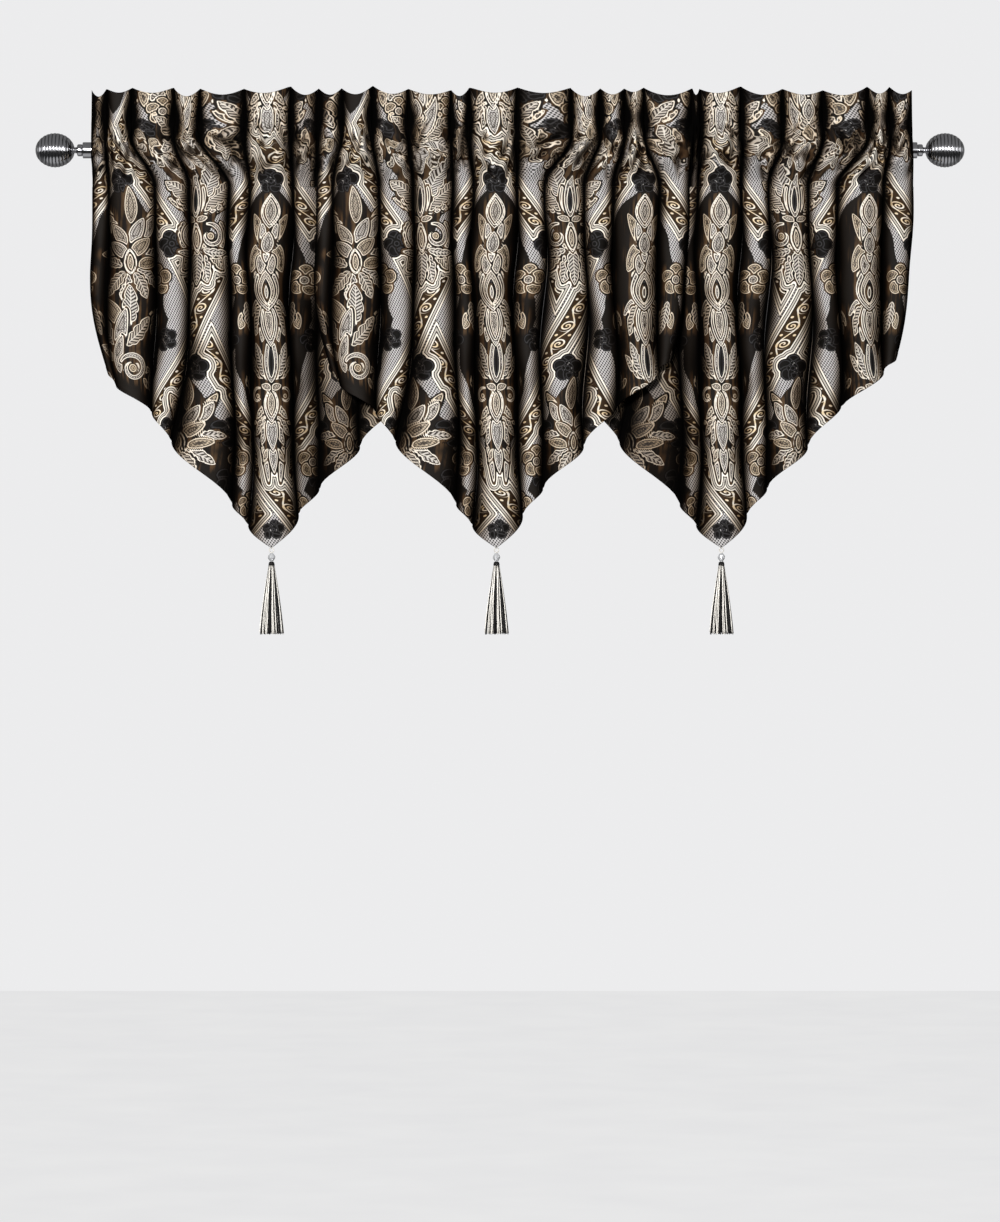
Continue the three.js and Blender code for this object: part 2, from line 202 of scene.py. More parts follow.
# Room round a shape, in which its distance is worked out
MARGIN = 8.0
BLOSSOM_MARGIN = 10.0
DARK_EDGE = 2.7  # dark ground left round a light motif
BLACK_GAP = Sizes(light=0.3, band=0.6, black=0.7)  # what a black shape leaves round itself
NO_RIB = 1.5  # distance from a rib, where a shape has none

# Feathered leaves: depth and shape of the notches, and what is added to their tint to mark them
LOBE = Sizes(notch=0.34, round=0.6, mark=2.0)
# How far a bent petal may reach, in its lengths, and how much its taper shortens distances
PETAL = Sizes(reach=1.25, taper=1.1)

# A petal starts at x, y and grows in the direction turn (degrees, 90 is up). It bends to its right
# by a share of its length. belly moves its widest part (below 1 to the foot, above 1 to the tip) and
# blunt shapes its ends (1 is pointed). tint runs from 0, silver, to 1, gold, or is None for black.
# A petal with lobes is a feathered leaf.
Petal = namedtuple("Petal", "x y length width turn bend belly blunt tint lobes", defaults=(0,))

# A curl is a stroke that winds by sweep degrees round x, y, from its radius inward, to a gold ball.
Curl = namedtuple("Curl", "x y radius start sweep width tint")
# Degrees in a step of a curl, how much its radius and width lose, its thin ends, and its ball
CURL = Sizes(step=16, shrink=0.6, taper=0.35, end=0.55, swell=3.0, shade=0.28, ball=0.27)

# In a mirrored motif, what starts beside the middle line has a twin on the other side.
Motif = namedtuple("Motif", "parts mirrored")


def motif(*rows, mirrored=True):
    return Motif([row if isinstance(row, Curl) else Petal(*row) for row in rows], mirrored)


BUD = motif(
    (0, -29, 58, 34, 90, 0, 0.95, 0.95, 0.1),
    (0, -20, 40, 19, 90, 0, 0.95, 0.95, 0.3),
)
TULIPS = motif(
    (8, -26, 56, 19, 77, 0.18, 0.82, 0.7, 0.85),
    (2, -30, 44, 12, 66, -0.2, 0.85, 0.7, 0.1),
    (0, -38, 34, 20, 90, 0, 0.8, 0.8, 0.2),
)
HEARTS = motif(
    (1, 17, 48, 25, -38, 0.34, 0.9, 0.6, 0.85),
    (4, 2, 32, 17, -74, 0.1, 0.8, 0.7, 0.3),
    (1, 13, 15, 9, 10, 0, 0.9, 0.6, 0.1),
    (0, 10, 17, 9, 90, 0, 0.9, 0.7, 0.1),
    (0, 14, 26, 11, -90, 0, 0.9, 0.8, 0.1),
)
POMEGRANATE = motif(
    (17, 26, 68, 17, -88, 0.22, 1.0, 0.7, 0.6),
    (0, 42, 86, 48, -90, 0, 1.4, 0.85, 0.1),
    (0, 24, 60, 31, -90, 0, 1.35, 0.85, 0.45),
    (0, 6, 38, 16, -90, 0, 1.1, 0.8, None),
    (0, -4, 22, 7, -90, 0, 1.05, 0.8, 0.1),
)
IVY = motif(
    (2, 30, 38, 17, -14, 0.34, 0.9, 0.6, 0.2),
    (3, 24, 50, 23, -44, 0.3, 0.85, 0.7, 0.55, 3),
    (2, 14, 46, 20, -68, 0.1, 0.85, 0.7, 0.3, 3),
    (0, 28, 64, 29, -90, 0, 0.85, 0.8, 0.05),
    (0, 20, 44, 14, -90, 0, 0.85, 0.8, 0.4),
)
FLEUR = motif(
    (2, -20, 38, 14, 26, -0.3, 0.9, 0.65, 0.5, 3),
    (2, -22, 46, 14, 56, -0.16, 0.9, 0.65, 0.2, 4),
    (0, -24, 54, 17, 90, 0, 0.85, 0.75, 0.1),
    (0, -18, 36, 7, 90, 0, 0.85, 0.75, None),
)
VASE = motif(
    Curl(23, 8, 12, 120, -300, 5, 0.3),
    (3, -4, 32, 12, -30, 0.2, 0.9, 0.65, 0.6, 3),
    (0, 20, 50, 24, -90, 0, 0.95, 0.8, 0.1),
    (0, 12, 32, 11, -90, 0, 0.95, 0.8, 0.6),
    (1, 17, 16, 11, 35, 0.2, 0.9, 0.7, 0.5),
)
FAN = motif(
    (2, 19, 36, 15, -4, 0.3, 0.85, 0.65, 0.75, 3),
    (3, 18, 42, 16, -36, 0.15, 0.85, 0.65, 0.45, 4),
    (2, 16, 46, 15, -62, 0.08, 0.85, 0.7, 0.2, 4),
    (0, 20, 54, 20, -90, 0, 0.9, 0.8, 0.05),
)
DROP = motif(
    (22, 24, 66, 9, -106, -0.1, 0.9, 0.6, 0.1),
    (2, 14, 28, 11, -34, 0.3, 0.8, 0.7, 0.6),
    (0, 20, 46, 15, -90, 0, 0.8, 0.8, 0.15),
)
STAR = motif(
    (4, -4, 50, 25, -58, 0.1, 0.8, 0.7, 0.35, 4),
    (5, 0, 58, 27, -14, 0.12, 0.78, 0.7, 0.15, 5),
    (5, 4, 62, 29, 26, -0.1, 0.78, 0.7, 0.5, 5),
    (3, 6, 68, 28, 62, -0.08, 0.75, 0.7, 0.2),
    (0, 6, 74, 28, 90, 0, 0.72, 0.75, 0.55, 5),
    (0, -6, 48, 23, -90, 0, 0.8, 0.75, 0.1),
    (0, -2, 26, 16, 90, 0, 0.9, 0.6, 0.9),
)
ACANTHUS = motif(
    (3, -20, 62, 25, -6, -0.34, 0.95, 0.6, 0.5, 5),
    (2, -28, 74, 28, 22, -0.2, 1.0, 0.6, 0.25, 6),
    (2, -30, 84, 32, 50, 0.24, 1.0, 0.6, 0.4, 6),
    (3, -26, 94, 32, 80, 0.46, 1.1, 0.55, 0.15, 6),
    (2, -34, 50, 15, 70, -0.12, 0.85, 0.7, 0.3),
    (0, -36, 70, 19, 90, 0, 0.8, 0.8, 0.1),
    (0, -28, 42, 8, 90, 0, 0.8, 0.8, None),
)
VOLUTE = motif(
    (42, 20, 46, 16, -72, 0.34, 0.9, 0.6, 0.4, 4),
    (12, -26, 40, 14, -20, -0.3, 0.9, 0.6, 0.2, 3),
    Curl(25, -4, 20, 104, -320, 8, 0.15),
    (0, 22, 52, 20, -90, 0, 1.2, 0.8, 0.15),
    (0, 8, 30, 9, -90, 0, 1.1, 0.8, 0.7),
    (2, 20, 20, 11, 30, 0.2, 0.9, 0.7, 0.5),
)
PENDANT = motif(
    (2, 30, 60, 28, -30, 0.36, 0.95, 0.6, 0.6, 5),
    (2, 10, 52, 24, -64, 0.14, 0.9, 0.6, 0.35, 4),
    (0, 18, 62, 22, -90, 0, 0.8, 0.7, 0.2, 4),
)
BOUQUET = motif(
    (8, -40, 46, 20, -16, 0.3, 0.95, 0.6, 0.2, 4),
    (6, -44, 42, 19, -54, 0.16, 0.95, 0.6, 0.45, 4),
    (-4, -44, 42, 19, -94, 0.06, 0.95, 0.6, 0.15, 4),
    (-8, -42, 46, 21, -134, -0.1, 0.9, 0.6, 0.6, 4),
    (-10, -32, 44, 20, 172, 0.2, 0.9, 0.6, 0.3, 4),
    (24, 16, 48, 17, 72, 0.14, 0.85, 0.75, 0.9),
    (-24, 18, 46, 18, 110, -0.2, 0.85, 0.7, 0.7),
    (2, 30, 58, 19, 88, -0.12, 0.85, 0.75, 0.6),
    (14, 6, 44, 20, 44, -0.2, 0.9, 0.65, 0.3),
    (-12, 8, 44, 20, 136, 0.2, 0.9, 0.65, 0.6, 4),
    (20, -18, 40, 20, 16, 0.24, 0.9, 0.65, 0.2, 4),
    (-18, -16, 40, 20, 164, -0.24, 0.9, 0.65, 0.85),
    (4, -2, 44, 20, 76, 0.14, 0.85, 0.7, 0.15),
    (-6, -4, 40, 19, 114, -0.16, 0.85, 0.7, 0.5),
    (4, -20, 38, 20, 58, 0.2, 0.9, 0.65, 0.75),
    (-4, -22, 36, 19, 126, -0.2, 0.9, 0.65, 0.35),
    (12, -34, 34, 18, 26, 0.2, 0.9, 0.65, 0.9),
    (-12, -34, 32, 17, 150, -0.2, 0.9, 0.65, 0.5, 4),
    (1, -46, 38, 19, 92, 0, 0.9, 0.7, 0.1),
    (1, -40, 25, 9, 92, 0, 0.9, 0.75, 0.8),
    mirrored=False,
)
SCROLL = motif(
    (-16, -34, 46, 20, -24, -0.3, 0.95, 0.6, 0.45, 4),
    (-22, -24, 42, 19, 168, 0.2, 0.95, 0.6, 0.6, 3),
    (-18, -6, 50, 22, 138, 0.24, 0.95, 0.6, 0.35, 4),
    (-12, 18, 48, 21, 118, -0.2, 0.9, 0.65, 0.75),
    (-6, 14, 56, 22, 74, -0.24, 0.95, 0.6, 0.2, 4),
    (-6, -8, 46, 20, 36, -0.3, 0.95, 0.6, 0.5, 4),
    (-12, -18, 58, 18, 96, 0.2, 0.9, 0.65, 0.15),
    (-16, -44, 48, 16, 100, 0.3, 0.95, 0.6, 0.3),
    Curl(4, -38, 19, 150, -400, 7, 0.2),
    mirrored=False,
)
SPRIG = motif(
    (0, -8, 32, 18, 48, -0.2, 0.9, 0.65, 0.6),
    (0, -8, 32, 18, 136, 0.2, 0.9, 0.65, 0.8),
    (0, -22, 54, 19, 90, 0.1, 0.95, 0.65, 0.4, 4),
)

# A blossom has round petals on a ring, the first one on top, and a round eye.
Blossom = namedtuple("Blossom", "petals ring round eye tint eye_tint")
GOLD_BLOSSOM = Blossom(5, 14.5, 10.5, 6.5, 1.0, 0.4)
BLACK_BLOSSOM = Blossom(5, 13, 11.5, 6, None, None)

# What stands where: its place to the side, its height and scale, its lean in degrees and, for a
# motif, -1 if it is flipped. What comes later lies over what came before.
Placed = namedtuple("Placed", "kind side height scale lean flip", defaults=(1.0, 0, 1))


def placed(kind, *rows):
    return [Placed(kind, *row) for row in rows]


# On both sides of a palmette column, from its middle line
SIDE_FILLERS = [
    *placed(BLACK_BLOSSOM, (104, -150, 0.9, 20), (96, -300, 0.8, 20), (120, -446, 1.0, 20),
            (92, 30, 0.8, 20), (66, 92, 0.8, 20), (108, -522, 1.0, 20)),
    *placed(SPRIG, (62, -262, 1.0, 170), (56, -372, 0.7, 10), (72, 2, 1.2, 24),
            (108, -14, 1.1, -40), (112, 74, 1.2, 12), (58, 52, 1.0, -30)),
    *placed(GOLD_BLOSSOM, (79, -206), (92, -492), (118, 60, 0.9), (60, -560, 0.8)),
]
# On the line of a palmette column and half way to the next one
COLUMN_BLOSSOMS = placed(BLACK_BLOSSOM, (0, -50, 0.85), (0, -600, 0.66), (TRELLIS.width / 2, -346, 0.9))
# From the line of the point
SINGLE_MOTIFS = [
    *placed(BOUQUET, (-174, -438, 0.9), (174, -438, 0.9, 0, -1), (-318, -150, 1.05)),
    *placed(SCROLL, (-314, -300, 1.2)),
    *placed(BOUQUET, (-166, 196), (166, 196)),
]
# Columns of motifs, each with its height and scale
PALMETTE_COLUMN = [
    (DROP, -486, 1.0), (FAN, -440, 1.05), (VASE, -398, 1.1), (FLEUR, -334, 1.45), (IVY, -272, 1.1),
    (POMEGRANATE, -212, 1.0), (HEARTS, -168, 1.05), (TULIPS, -128, 1.0), (BUD, -98, 1.0),
    (FAN, 56, 1.05), (VASE, 98, 1.1), (FLEUR, 160, 1.45), (IVY, 222, 1.1),
]
ACANTHUS_COLUMN = [
    (PENDANT, -172, 1.0), (VOLUTE, -134, 1.0), (STAR, 14, 1.0), (ACANTHUS, -72, 1.0),
    (BUD, 116, 1.0), (TULIPS, 84, 1.0),
]

# Silver reserves along the bands: how far they reach, what that gains where bands cross and loses in
# a palmette column, and the two waves of their scalloped edge
RESERVE = Sizes(reach=27.0, gain=11.0, loss=19.0, gap=0.6)
SCALLOP = Sizes(deep=2.5, down=11.0, bend=2.0, bend_pitch=37.0, shallow=2.0, side=9.0, slant=31.0)
# Silver arches below the crossings: their heights and drops, and how much further they reach to the side
ARCHES = [(2.0, 52.0), (-538.0, 118.0)]
ARCH = Sizes(skirt=0.5, skirt_end=34.0, half=48.0, scallop=2.0)


class Drawing:
    """Signed distances to the damask's parts at flat points, below zero inside them."""

    def __init__(self, s, z):
        self.s = s
        self.z = z
        self.light, self.black, self.rib = (np.full(s.shape, FAR) for _ in range(3))
        self.tint, self.rise = np.zeros(s.shape), np.zeros(s.shape)
        self.draw_trellis()
        self.draw_silver()

    def near(self, s, z, reach):
        return np.nonzero((np.abs(self.s - s) < reach) & (np.abs(self.z - z) < reach))[0]

    def around(self, item, spot, reach):
        """Points near the start of a petal or curl, and how far they are from it, side and height."""
        lean = math.radians(spot.lean)
        side = spot.scale * (item.x * math.cos(lean) - item.y * math.sin(lean))
        s = spot.side + spot.flip * side
        z = spot.height + spot.scale * (item.x * math.sin(lean) + item.y * math.cos(lean))
        at = self.near(s, z, reach)
        return at, spot.flip * (self.s[at] - s), self.z[at] - z

    def paint(self, at, distance, tint, rise, rib=NO_RIB):
        """Lays a shape over what is drawn, with a dark line left round it; no tint is black."""
        if tint is None:
            for layer, gap in ((self.light, BLACK_GAP.light), (self.band, BLACK_GAP.band),
                               (self.black, BLACK_GAP.black)):
                layer[at] = np.maximum(layer[at], gap - distance)
            self.black[at] = np.minimum(self.black[at], distance)
            return
        for layer in (self.light, self.black, self.silver, self.band):
            layer[at] = np.maximum(layer[at], DARK_EDGE - distance)
        self.light[at] = np.minimum(self.light[at], distance)
        inside = distance < DARK_EDGE
        for layer, values in ((self.tint, tint), (self.rise, rise), (self.rib, rib)):
            layer[at[inside]] = np.broadcast_to(values, at.shape)[inside]

    def petal(self, petal, spot):
        length, width = spot.scale * petal.length, spot.scale * petal.width
        at, ds, dz = self.around(petal, spot, PETAL.reach * length + width + MARGIN)
        turn = math.radians(petal.turn + spot.lean)
        u = ds * math.cos(turn) + dz * math.sin(turn)
        v = ds * math.sin(turn) - dz * math.cos(turn)
        share = np.clip(u / length, 0, 1)
        v = v - petal.bend * length * share**2
        half = 0.5 * width * np.sin(np.pi * share**petal.belly) ** petal.blunt
        tint = petal.tint
        if petal.lobes:
            lobe = np.abs(np.sin(np.pi * (petal.lobes * share + np.abs(v) / width)))
            half = half * lerp(1 - LOBE.notch, 1, lobe**LOBE.round)
            tint += LOBE.mark
        beyond = np.maximum(np.maximum(-u, u - length), 0)
        taper = PETAL.taper * width / length
        slant = 1 / np.sqrt(1 + (2 * petal.bend * share) ** 2 + taper**2)
        outside = np.hypot(np.maximum(np.abs(v) - half, 0), beyond)
        distance = np.where(beyond > 0, outside, (np.abs(v) - half) * slant)
        self.paint(at, distance, tint, u, v)

    def curl(self, curl, spot):
        radius, half = spot.scale * curl.radius, 0.5 * spot.scale * curl.width
        at, ds, dz = self.around(curl, spot, radius + half + MARGIN)
        steps = int(abs(curl.sweep) / CURL.step) + 2
        share = np.linspace(0, 1, steps)
        angle = np.radians(curl.start + spot.lean + curl.sweep * share)
        reach = radius * (1 - CURL.shrink * share)
        path_s, path_z = reach * np.cos(angle), reach * np.sin(angle)
        end = np.minimum(1, CURL.end + CURL.swell * np.minimum(share, 1 - share))
        thick = half * (1.0 - CURL.taper * share) * end
        distance = np.full(at.shape, FAR)
        along = np.zeros(at.shape)
        for k in range(steps - 1):
            step_s, step_z = path_s[k + 1] - path_s[k], path_z[k + 1] - path_z[k]
            from_s, from_z = ds - path_s[k], dz - path_z[k]
            part = np.clip((from_s * step_s + from_z * step_z) / (step_s**2 + step_z**2), 0, 1)
            gap = np.hypot(from_s - part * step_s, from_z - part * step_z)
            gap = gap - lerp(thick[k], thick[k + 1], part)
            closer = gap < distance
            distance[closer] = gap[closer]
            along[closer] = (k + part[closer]) * radius * CURL.shade
        self.paint(at, distance, curl.tint, along)
        self.paint(at, np.hypot(ds, dz) - CURL.ball * radius, 1.0, along)

    def blossom(self, kind, spot):
        angles = [math.radians(90 + spot.lean + 360 * k / kind.petals) for k in range(kind.petals)]
        ring = spot.scale * kind.ring
        rounds = [(ring * math.cos(angle), ring * math.sin(angle), kind.round, kind.tint)
                  for angle in angles]
        for side, rise, size, tint in [*rounds, (0, 0, kind.eye, kind.eye_tint)]:
            s, z, radius = spot.side + side, spot.height + rise, spot.scale * size
            at = self.near(s, z, radius + BLOSSOM_MARGIN)
            from_centre = np.hypot(self.s[at] - s, self.z[at] - z)
            self.paint(at, from_centre - radius, tint, from_centre)

    def add(self, spot, column=0.0, side=1):
        """Draws what is placed to the side of a column; on the left side, -1, it is mirrored."""
        spot = spot._replace(side=column + side * spot.side, flip=side * spot.flip)
        if isinstance(spot.kind, Blossom):
            self.blossom(spot.kind, spot._replace(lean=side * spot.lean))
            return
        for item in spot.kind.parts:
            draw = self.curl if isinstance(item, Curl) else self.petal
            draw(item, spot)
            if spot.kind.mirrored and item.x:
                draw(item, spot._replace(flip=-spot.flip))

    def draw_trellis(self):
        """Two families of ogee bands that cross, one over the other by turns."""
        turn = TURN * (TRELLIS.top - self.z) / TRELLIS.height
        lead = TRELLIS.width * (turn + TRELLIS.swing * np.sin(turn)) / TURN
        squeeze = 1 / np.hypot(1, self.band_slope(self.z))
        sides = []
        for family in (1, -1):
            offset = self.s - family * lead
            sides.append((offset - TRELLIS.width * np.round(offset / TRELLIS.width)) * squeeze)
        first, second = (np.abs(side) - TRELLIS.half_band for side in sides)
        first_over = np.cos(turn) > 0
        top = np.where(first_over, first, second)
        low = np.where(first_over, second, first)
        self.band = np.minimum(np.maximum(low, DARK_EDGE - top), top)
        self.across = np.where((top < DARK_EDGE) == first_over, sides[0], sides[1])
        steps = np.gradient(TRELLIS_LEVELS) * np.hypot(1, self.band_slope(TRELLIS_LEVELS))
        self.along = np.interp(self.z, TRELLIS_LEVELS, np.cumsum(steps))

    def band_slope(self, z):
        """How far a band moves sideways for each millimetre down."""
        turn = TURN * (TRELLIS.top - z) / TRELLIS.height
        return TRELLIS.width / TRELLIS.height * (1 + TRELLIS.swing * np.cos(turn))

    def draw_silver(self):
        """Silver reserves lie along the bands and below the crossings, with a scalloped edge."""
        s, z = self.s, self.z
        bend = SCALLOP.bend * np.sin(s / SCALLOP.bend_pitch)
        scallop = SCALLOP.deep * np.sin(z / SCALLOP.down + bend)
        scallop = scallop + SCALLOP.shallow * np.sin(s / SCALLOP.side + z / SCALLOP.slant)
        in_column = smooth(np.cos(TURN * s / TRELLIS.width))
        crossing = np.cos(2 * TURN * (z - TRELLIS.top) / TRELLIS.height)
        reach = RESERVE.reach + RESERVE.gain * crossing - RESERVE.loss * in_column
        self.silver = self.band - reach - scallop
        for column in (-TRELLIS.width, 0, TRELLIS.width):
            for height, drop in ARCHES:
                below = height - z
                side = np.abs(s - column)
                foot = drop + ARCH.skirt * np.minimum(side, ARCH.skirt_end) + ARCH.scallop * scallop
                arch = np.maximum(np.maximum(below - foot, -below), side - ARCH.half)
                self.silver = np.minimum(self.silver, arch)
        self.silver = np.maximum(self.silver, RESERVE.gap - self.band)


def draw_damask(s, z):
    art = Drawing(s, z)
    width = TRELLIS.width
    for column in (-width, 0, width):
        for side in (1, -1):
            for filler in SIDE_FILLERS:
                art.add(filler, column, side)
        for blossom in COLUMN_BLOSSOMS:
            art.add(blossom, column)
    for column in (0, width):
        art.s = column + (s - column) / COLUMN_NARROW
        for kind, height, scale in PALMETTE_COLUMN:
            art.add(Placed(kind, column, height, scale))
    art.s = s
    for kind, height, scale in ACANTHUS_COLUMN:
        for column in (-width / 2, width / 2):
            art.add(Placed(kind, column, height, scale))
    for single in SINGLE_MOTIFS:
        art.add(single)
    return art


def store_art(piece, art, lit):
    """Keeps the drawing at a piece's vertices, with how open to the light each one is, which the materials
    paint in as shade.
    """
    add_vectors(piece, "art_parts", [art.light, art.black, art.silver])
    add_vectors(piece, "art_band", [art.band, art.along, art.across])
    add_vectors(piece, "art_fill", [art.tint, art.rise, art.rib])
    add_vectors(piece, "flat", [art.s, art.z, lit])


# Node trees of the materials and the sky


class Value:
    """What a node gives out. Sums and products of such values make further nodes."""

    def __init__(self, graph, socket):
        self.graph = graph
        self.socket = socket

    def __add__(self, other):
        return self.graph.math("ADD", self, other)

    def __sub__(self, other):
        return self.graph.math("SUBTRACT", self, other)

    def __rsub__(self, other):
        return self.graph.math("SUBTRACT", other, self)

    def __mul__(self, other):
        return self.graph.math("MULTIPLY", self, other)

    def __truediv__(self, other):
        return self.graph.math("DIVIDE", self, other)

    def __abs__(self):
        return self.graph.math("ABSOLUTE", self)

    def below(self, edge, soft=0.4):
        """1 where the value is below the edge, else 0, with a soft step."""
        steps = (self, edge - soft, edge + soft, 1.0, 0.0)
        return self.graph.node("MapRange", steps, interpolation_type="SMOOTHSTEP")

    def above(self, edge, soft=0.4):
        return 1.0 - self.below(edge, soft)

    def between(self, low, high, soft=0.35):
        return self.below(high, soft) - self.below(low, soft)

    def wave(self, period):
        """Sine of a length in millimetres, from 0 to 1."""
        return self.graph.math("SINE", self * (TURN / period)) * 0.5 + 0.5


class Graph:
    """Node tree of a material or a sky, with short calls for the nodes that they use."""

    def __init__(self, owner):
        owner.use_nodes = True
        self.owner = owner
        self.tree = owner.node_tree

    def put(self, socket, value):
        if isinstance(value, Value):
            self.tree.links.new(value.socket, socket)
        else:
            socket.default_value = (*value, 1) if socket.type == "RGBA" else value

    def node(self, kind, values=(), output=0, **settings):
        """Adds a node; its values go to its inputs in order, or by name or number in a dictionary."""
        node = self.tree.nodes.new("ShaderNode" + kind)
        for name, setting in settings.items():
            setattr(node, name, setting)
        for key, value in values.items() if isinstance(values, dict) else enumerate(values):
            self.put(node.inputs[key], value)
        return Value(self, node.outputs[output])

    def finish(self, **values):
        """Puts values on the shader's sockets and gives the material."""
        for name, value in values.items():
            self.put(self.tree.nodes["Principled BSDF"].inputs[name.replace("_", " ")], value)
        return self.owner

    def math(self, operation, *values):
        return self.node("Math", values, operation=operation)

    def length(self, a, b):
        return self.math("SQRT", a * a + b * b)

    def mix(self, share, base, top, blend="MIX"):
        return self.node("Mix", {0: share, 6: base, 7: top}, 2, data_type="RGBA", blend_type=blend)

    def split(self, vector):
        """The three parts of a vector."""
        node = self.tree.nodes.new("ShaderNodeSeparateXYZ")
        self.put(node.inputs[0], vector)
        return [Value(self, output) for output in node.outputs]

    def attribute(self, name):
        """A stored vector and its three parts."""
        vector = self.node("Attribute", (), "Vector", attribute_name=name)
        return vector, *self.split(vector)

    def place(self):
        """Object coordinates in millimetres."""
        coordinates = self.node("TexCoord", (), "Object")
        return self.node("VectorMath", {0: coordinates, "Scale": 1 / MM}, operation="SCALE")

    def noise(self, vector, scale, detail=2.0, stretch=(1, 1, 1)):
        mapped = self.node("Mapping", {"Vector": vector, "Scale": stretch})
        return self.node("TexNoise", {"Vector": mapped, "Scale": scale, "Detail": detail}, "Fac")

    def bump(self, height, strength, distance):
        values = {"Strength": strength, "Distance": distance, "Height": height}
        return self.node("Bump", values)


def new_material(name):
    return Graph(bpy.data.materials.new(name))


def scaled(colour, share):
    return tuple(share * part for part in colour)


# Threads of the damask

CREAM = (0.70, 0.652, 0.572)
SILVER = (0.45, 0.434, 0.429)
GOLD = (0.44, 0.345, 0.215)
BROWN = (0.050, 0.030, 0.016)
BLACK = (0.0048, 0.0043, 0.0039)
GROUND = (0.0095, 0.0080, 0.0068)
GREY_LINE = (0.026, 0.025, 0.026)
GOLD_LINE = (0.56, 0.458, 0.328)
FILL_SILVER = (0.385, 0.366, 0.346)
FILL_GOLD = (0.31, 0.243, 0.160)
SHADE_TINT = (1.0, 0.80, 0.62)  # painted shade: warm cast multiplied into the colour where the cloth turns from the light
SILVER_DULL = scaled(SILVER, 0.62)
SILVER_FLECK = scaled(SILVER, 0.07)
CREAM_SOFT = scaled(CREAM, 0.85)
CREAM_DIM = scaled(CREAM, 0.5)
RIB_CREAM = scaled(CREAM, 0.7)
OUTLINE_CREAM = scaled(CREAM, 0.92)
OUTLINE_GOLD = scaled(GOLD_LINE, 0.92)
BAND_GOLD = scaled(GOLD, 1.2)
BAND_GROUND = scaled(BROWN, 0.55)
BROWN_THREAD = scaled(BROWN, 1.2)
BROWN_CORE = scaled(BROWN, 0.6)
BROWN_LINE = scaled(BROWN, 0.4)
VEIN = scaled(BROWN, 0.3)
DEEP_SHADE = scaled(BLACK, 0.2)

# Dark flecks between the light threads: their two periods in mm, the slant of their columns, and how
# large and soft they are
SPECK = Sizes(across=4.3, along=5.6, slant=0.3, edge=0.06, soft=0.2, on_petals=0.72)

# Scrolls inside the bands, in millimetres
FILLER = Sizes(period=31.0, pitch=5.0, line=0.95, soft=0.06, reach=9.6, swing=6.0, drop=1.5, leaf=1.9,
               leaf_rise=8.2, shimmer=17.0, inside=-10.3)

# Stripes along a band's edges: from and to, in millimetres inside it, and their colour
BAND_EDGE = [
    (-2.4, -0.3, CREAM),
    (-3.7, -2.4, BLACK),
    (-6.1, -3.7, CREAM_DIM),
    (-7.3, -6.1, BLACK),
    (-9.2, -7.3, CREAM_SOFT),
    (-10.3, -9.2, BLACK),
]

# Brown threads near the light motifs: their noise, and how far from a motif they fade out
STREAK = Sizes(scale=0.16, detail=3.0, stretch=(1, 0.07, 1), share=0.47, soft=0.07, near=7.0, fade=6.0)
# Lines inside the shapes, in millimetres from their edge: from and to
BLACK_RING = (-2.4, -1.1)
OUTLINE = (-1.2, -0.1)
DARK_LINE = (-2.3, -1.2)
INNER_LINE = (-6.0, -4.8)
# The core of a petal and its shade, and the brown at the foot of petals and leaves
CORE = Sizes(edge=-5.0, soft=0.6, share=0.3)
FOOT = Sizes(reach=9.0, fade=9.0, share=0.45)
# Feathers of a leaf: how they rise along it and slant from its rib, their pitch and the rib's half width
FEATHER = Sizes(rise=0.9, slant=0.8, pitch=5.0, soft=0.24, rib=0.5)
GOLD_SHARE = 0.8  # of a motif's tint, in its outline
# Weave and finish of the face and of the reverse; the reverse's fade is painted shade in its hollows
FACE = Sizes(warp=0.9, weft=0.75, thread_rise=0.35, silver_rise=0.7, mottle=0.55, bump=0.35, height=0.0005,
             rough=0.62, rough_loss=0.16, gloss=0.03, gloss_gain=0.11)
REVERSE = Sizes(
    ground=(0.034, 0.031, 0.028), pale=(0.056, 0.051, 0.046), silver=(0.017, 0.016, 0.016),
    band=(0.072, 0.054, 0.038), light=(0.016, 0.014, 0.012), line=(0.095, 0.078, 0.060),
    thread=(0.010, 0.009, 0.009), fade=scaled(BLACK, 0.4), soft=1.5, edge=(-2.6, -0.4, 1.0),
    pitch=1.6, thread_share=0.3, fade_share=0.7, streak=(0.3, 2.0, (0.15, 1, 1)),
    bump=0.3, height=0.0004, rough=0.68, rough_gain=0.12,
)


def band_filler(graph, along, across):
    """Running scrolls along a band: spirals that change sides, joined by a wavy stem."""
    period, pitch = FILLER.period, FILLER.pitch
    cell = graph.math("FLOOR", along / period)
    side = 1.0 - graph.math("MODULO", cell, 2.0) * 2.0
    local = along - cell * period - period / 2
    stem = graph.math("COSINE", local * (math.pi / period)) * side
    height = across * side + FILLER.drop
    radius = graph.length(local, height)
    angle = graph.math("ARCTAN2", height, local) / TURN
    off_spiral = abs(graph.math("FRACT", radius / pitch - angle) - 0.5)
    spiral = off_spiral.below(FILLER.line / pitch, FILLER.soft) * radius.below(FILLER.reach)
    from_end = period / 2 - graph.math("PINGPONG", local, period / 2)
    leaf = graph.length(from_end, abs(across) - FILLER.leaf_rise)
    lines = graph.math("MAXIMUM", spiral, abs(across - stem * FILLER.swing).below(FILLER.line))
    return graph.math("MAXIMUM", lines, leaf.below(FILLER.leaf))


def specks(graph, s, z):
    """1 on the dark flecks, else 0."""
    across = graph.math("SINE", (s + z * SPECK.slant) * (TURN / SPECK.across))
    along = graph.math("SINE", z * (TURN / SPECK.along))
    return (across * along).above(SPECK.edge, SPECK.soft)


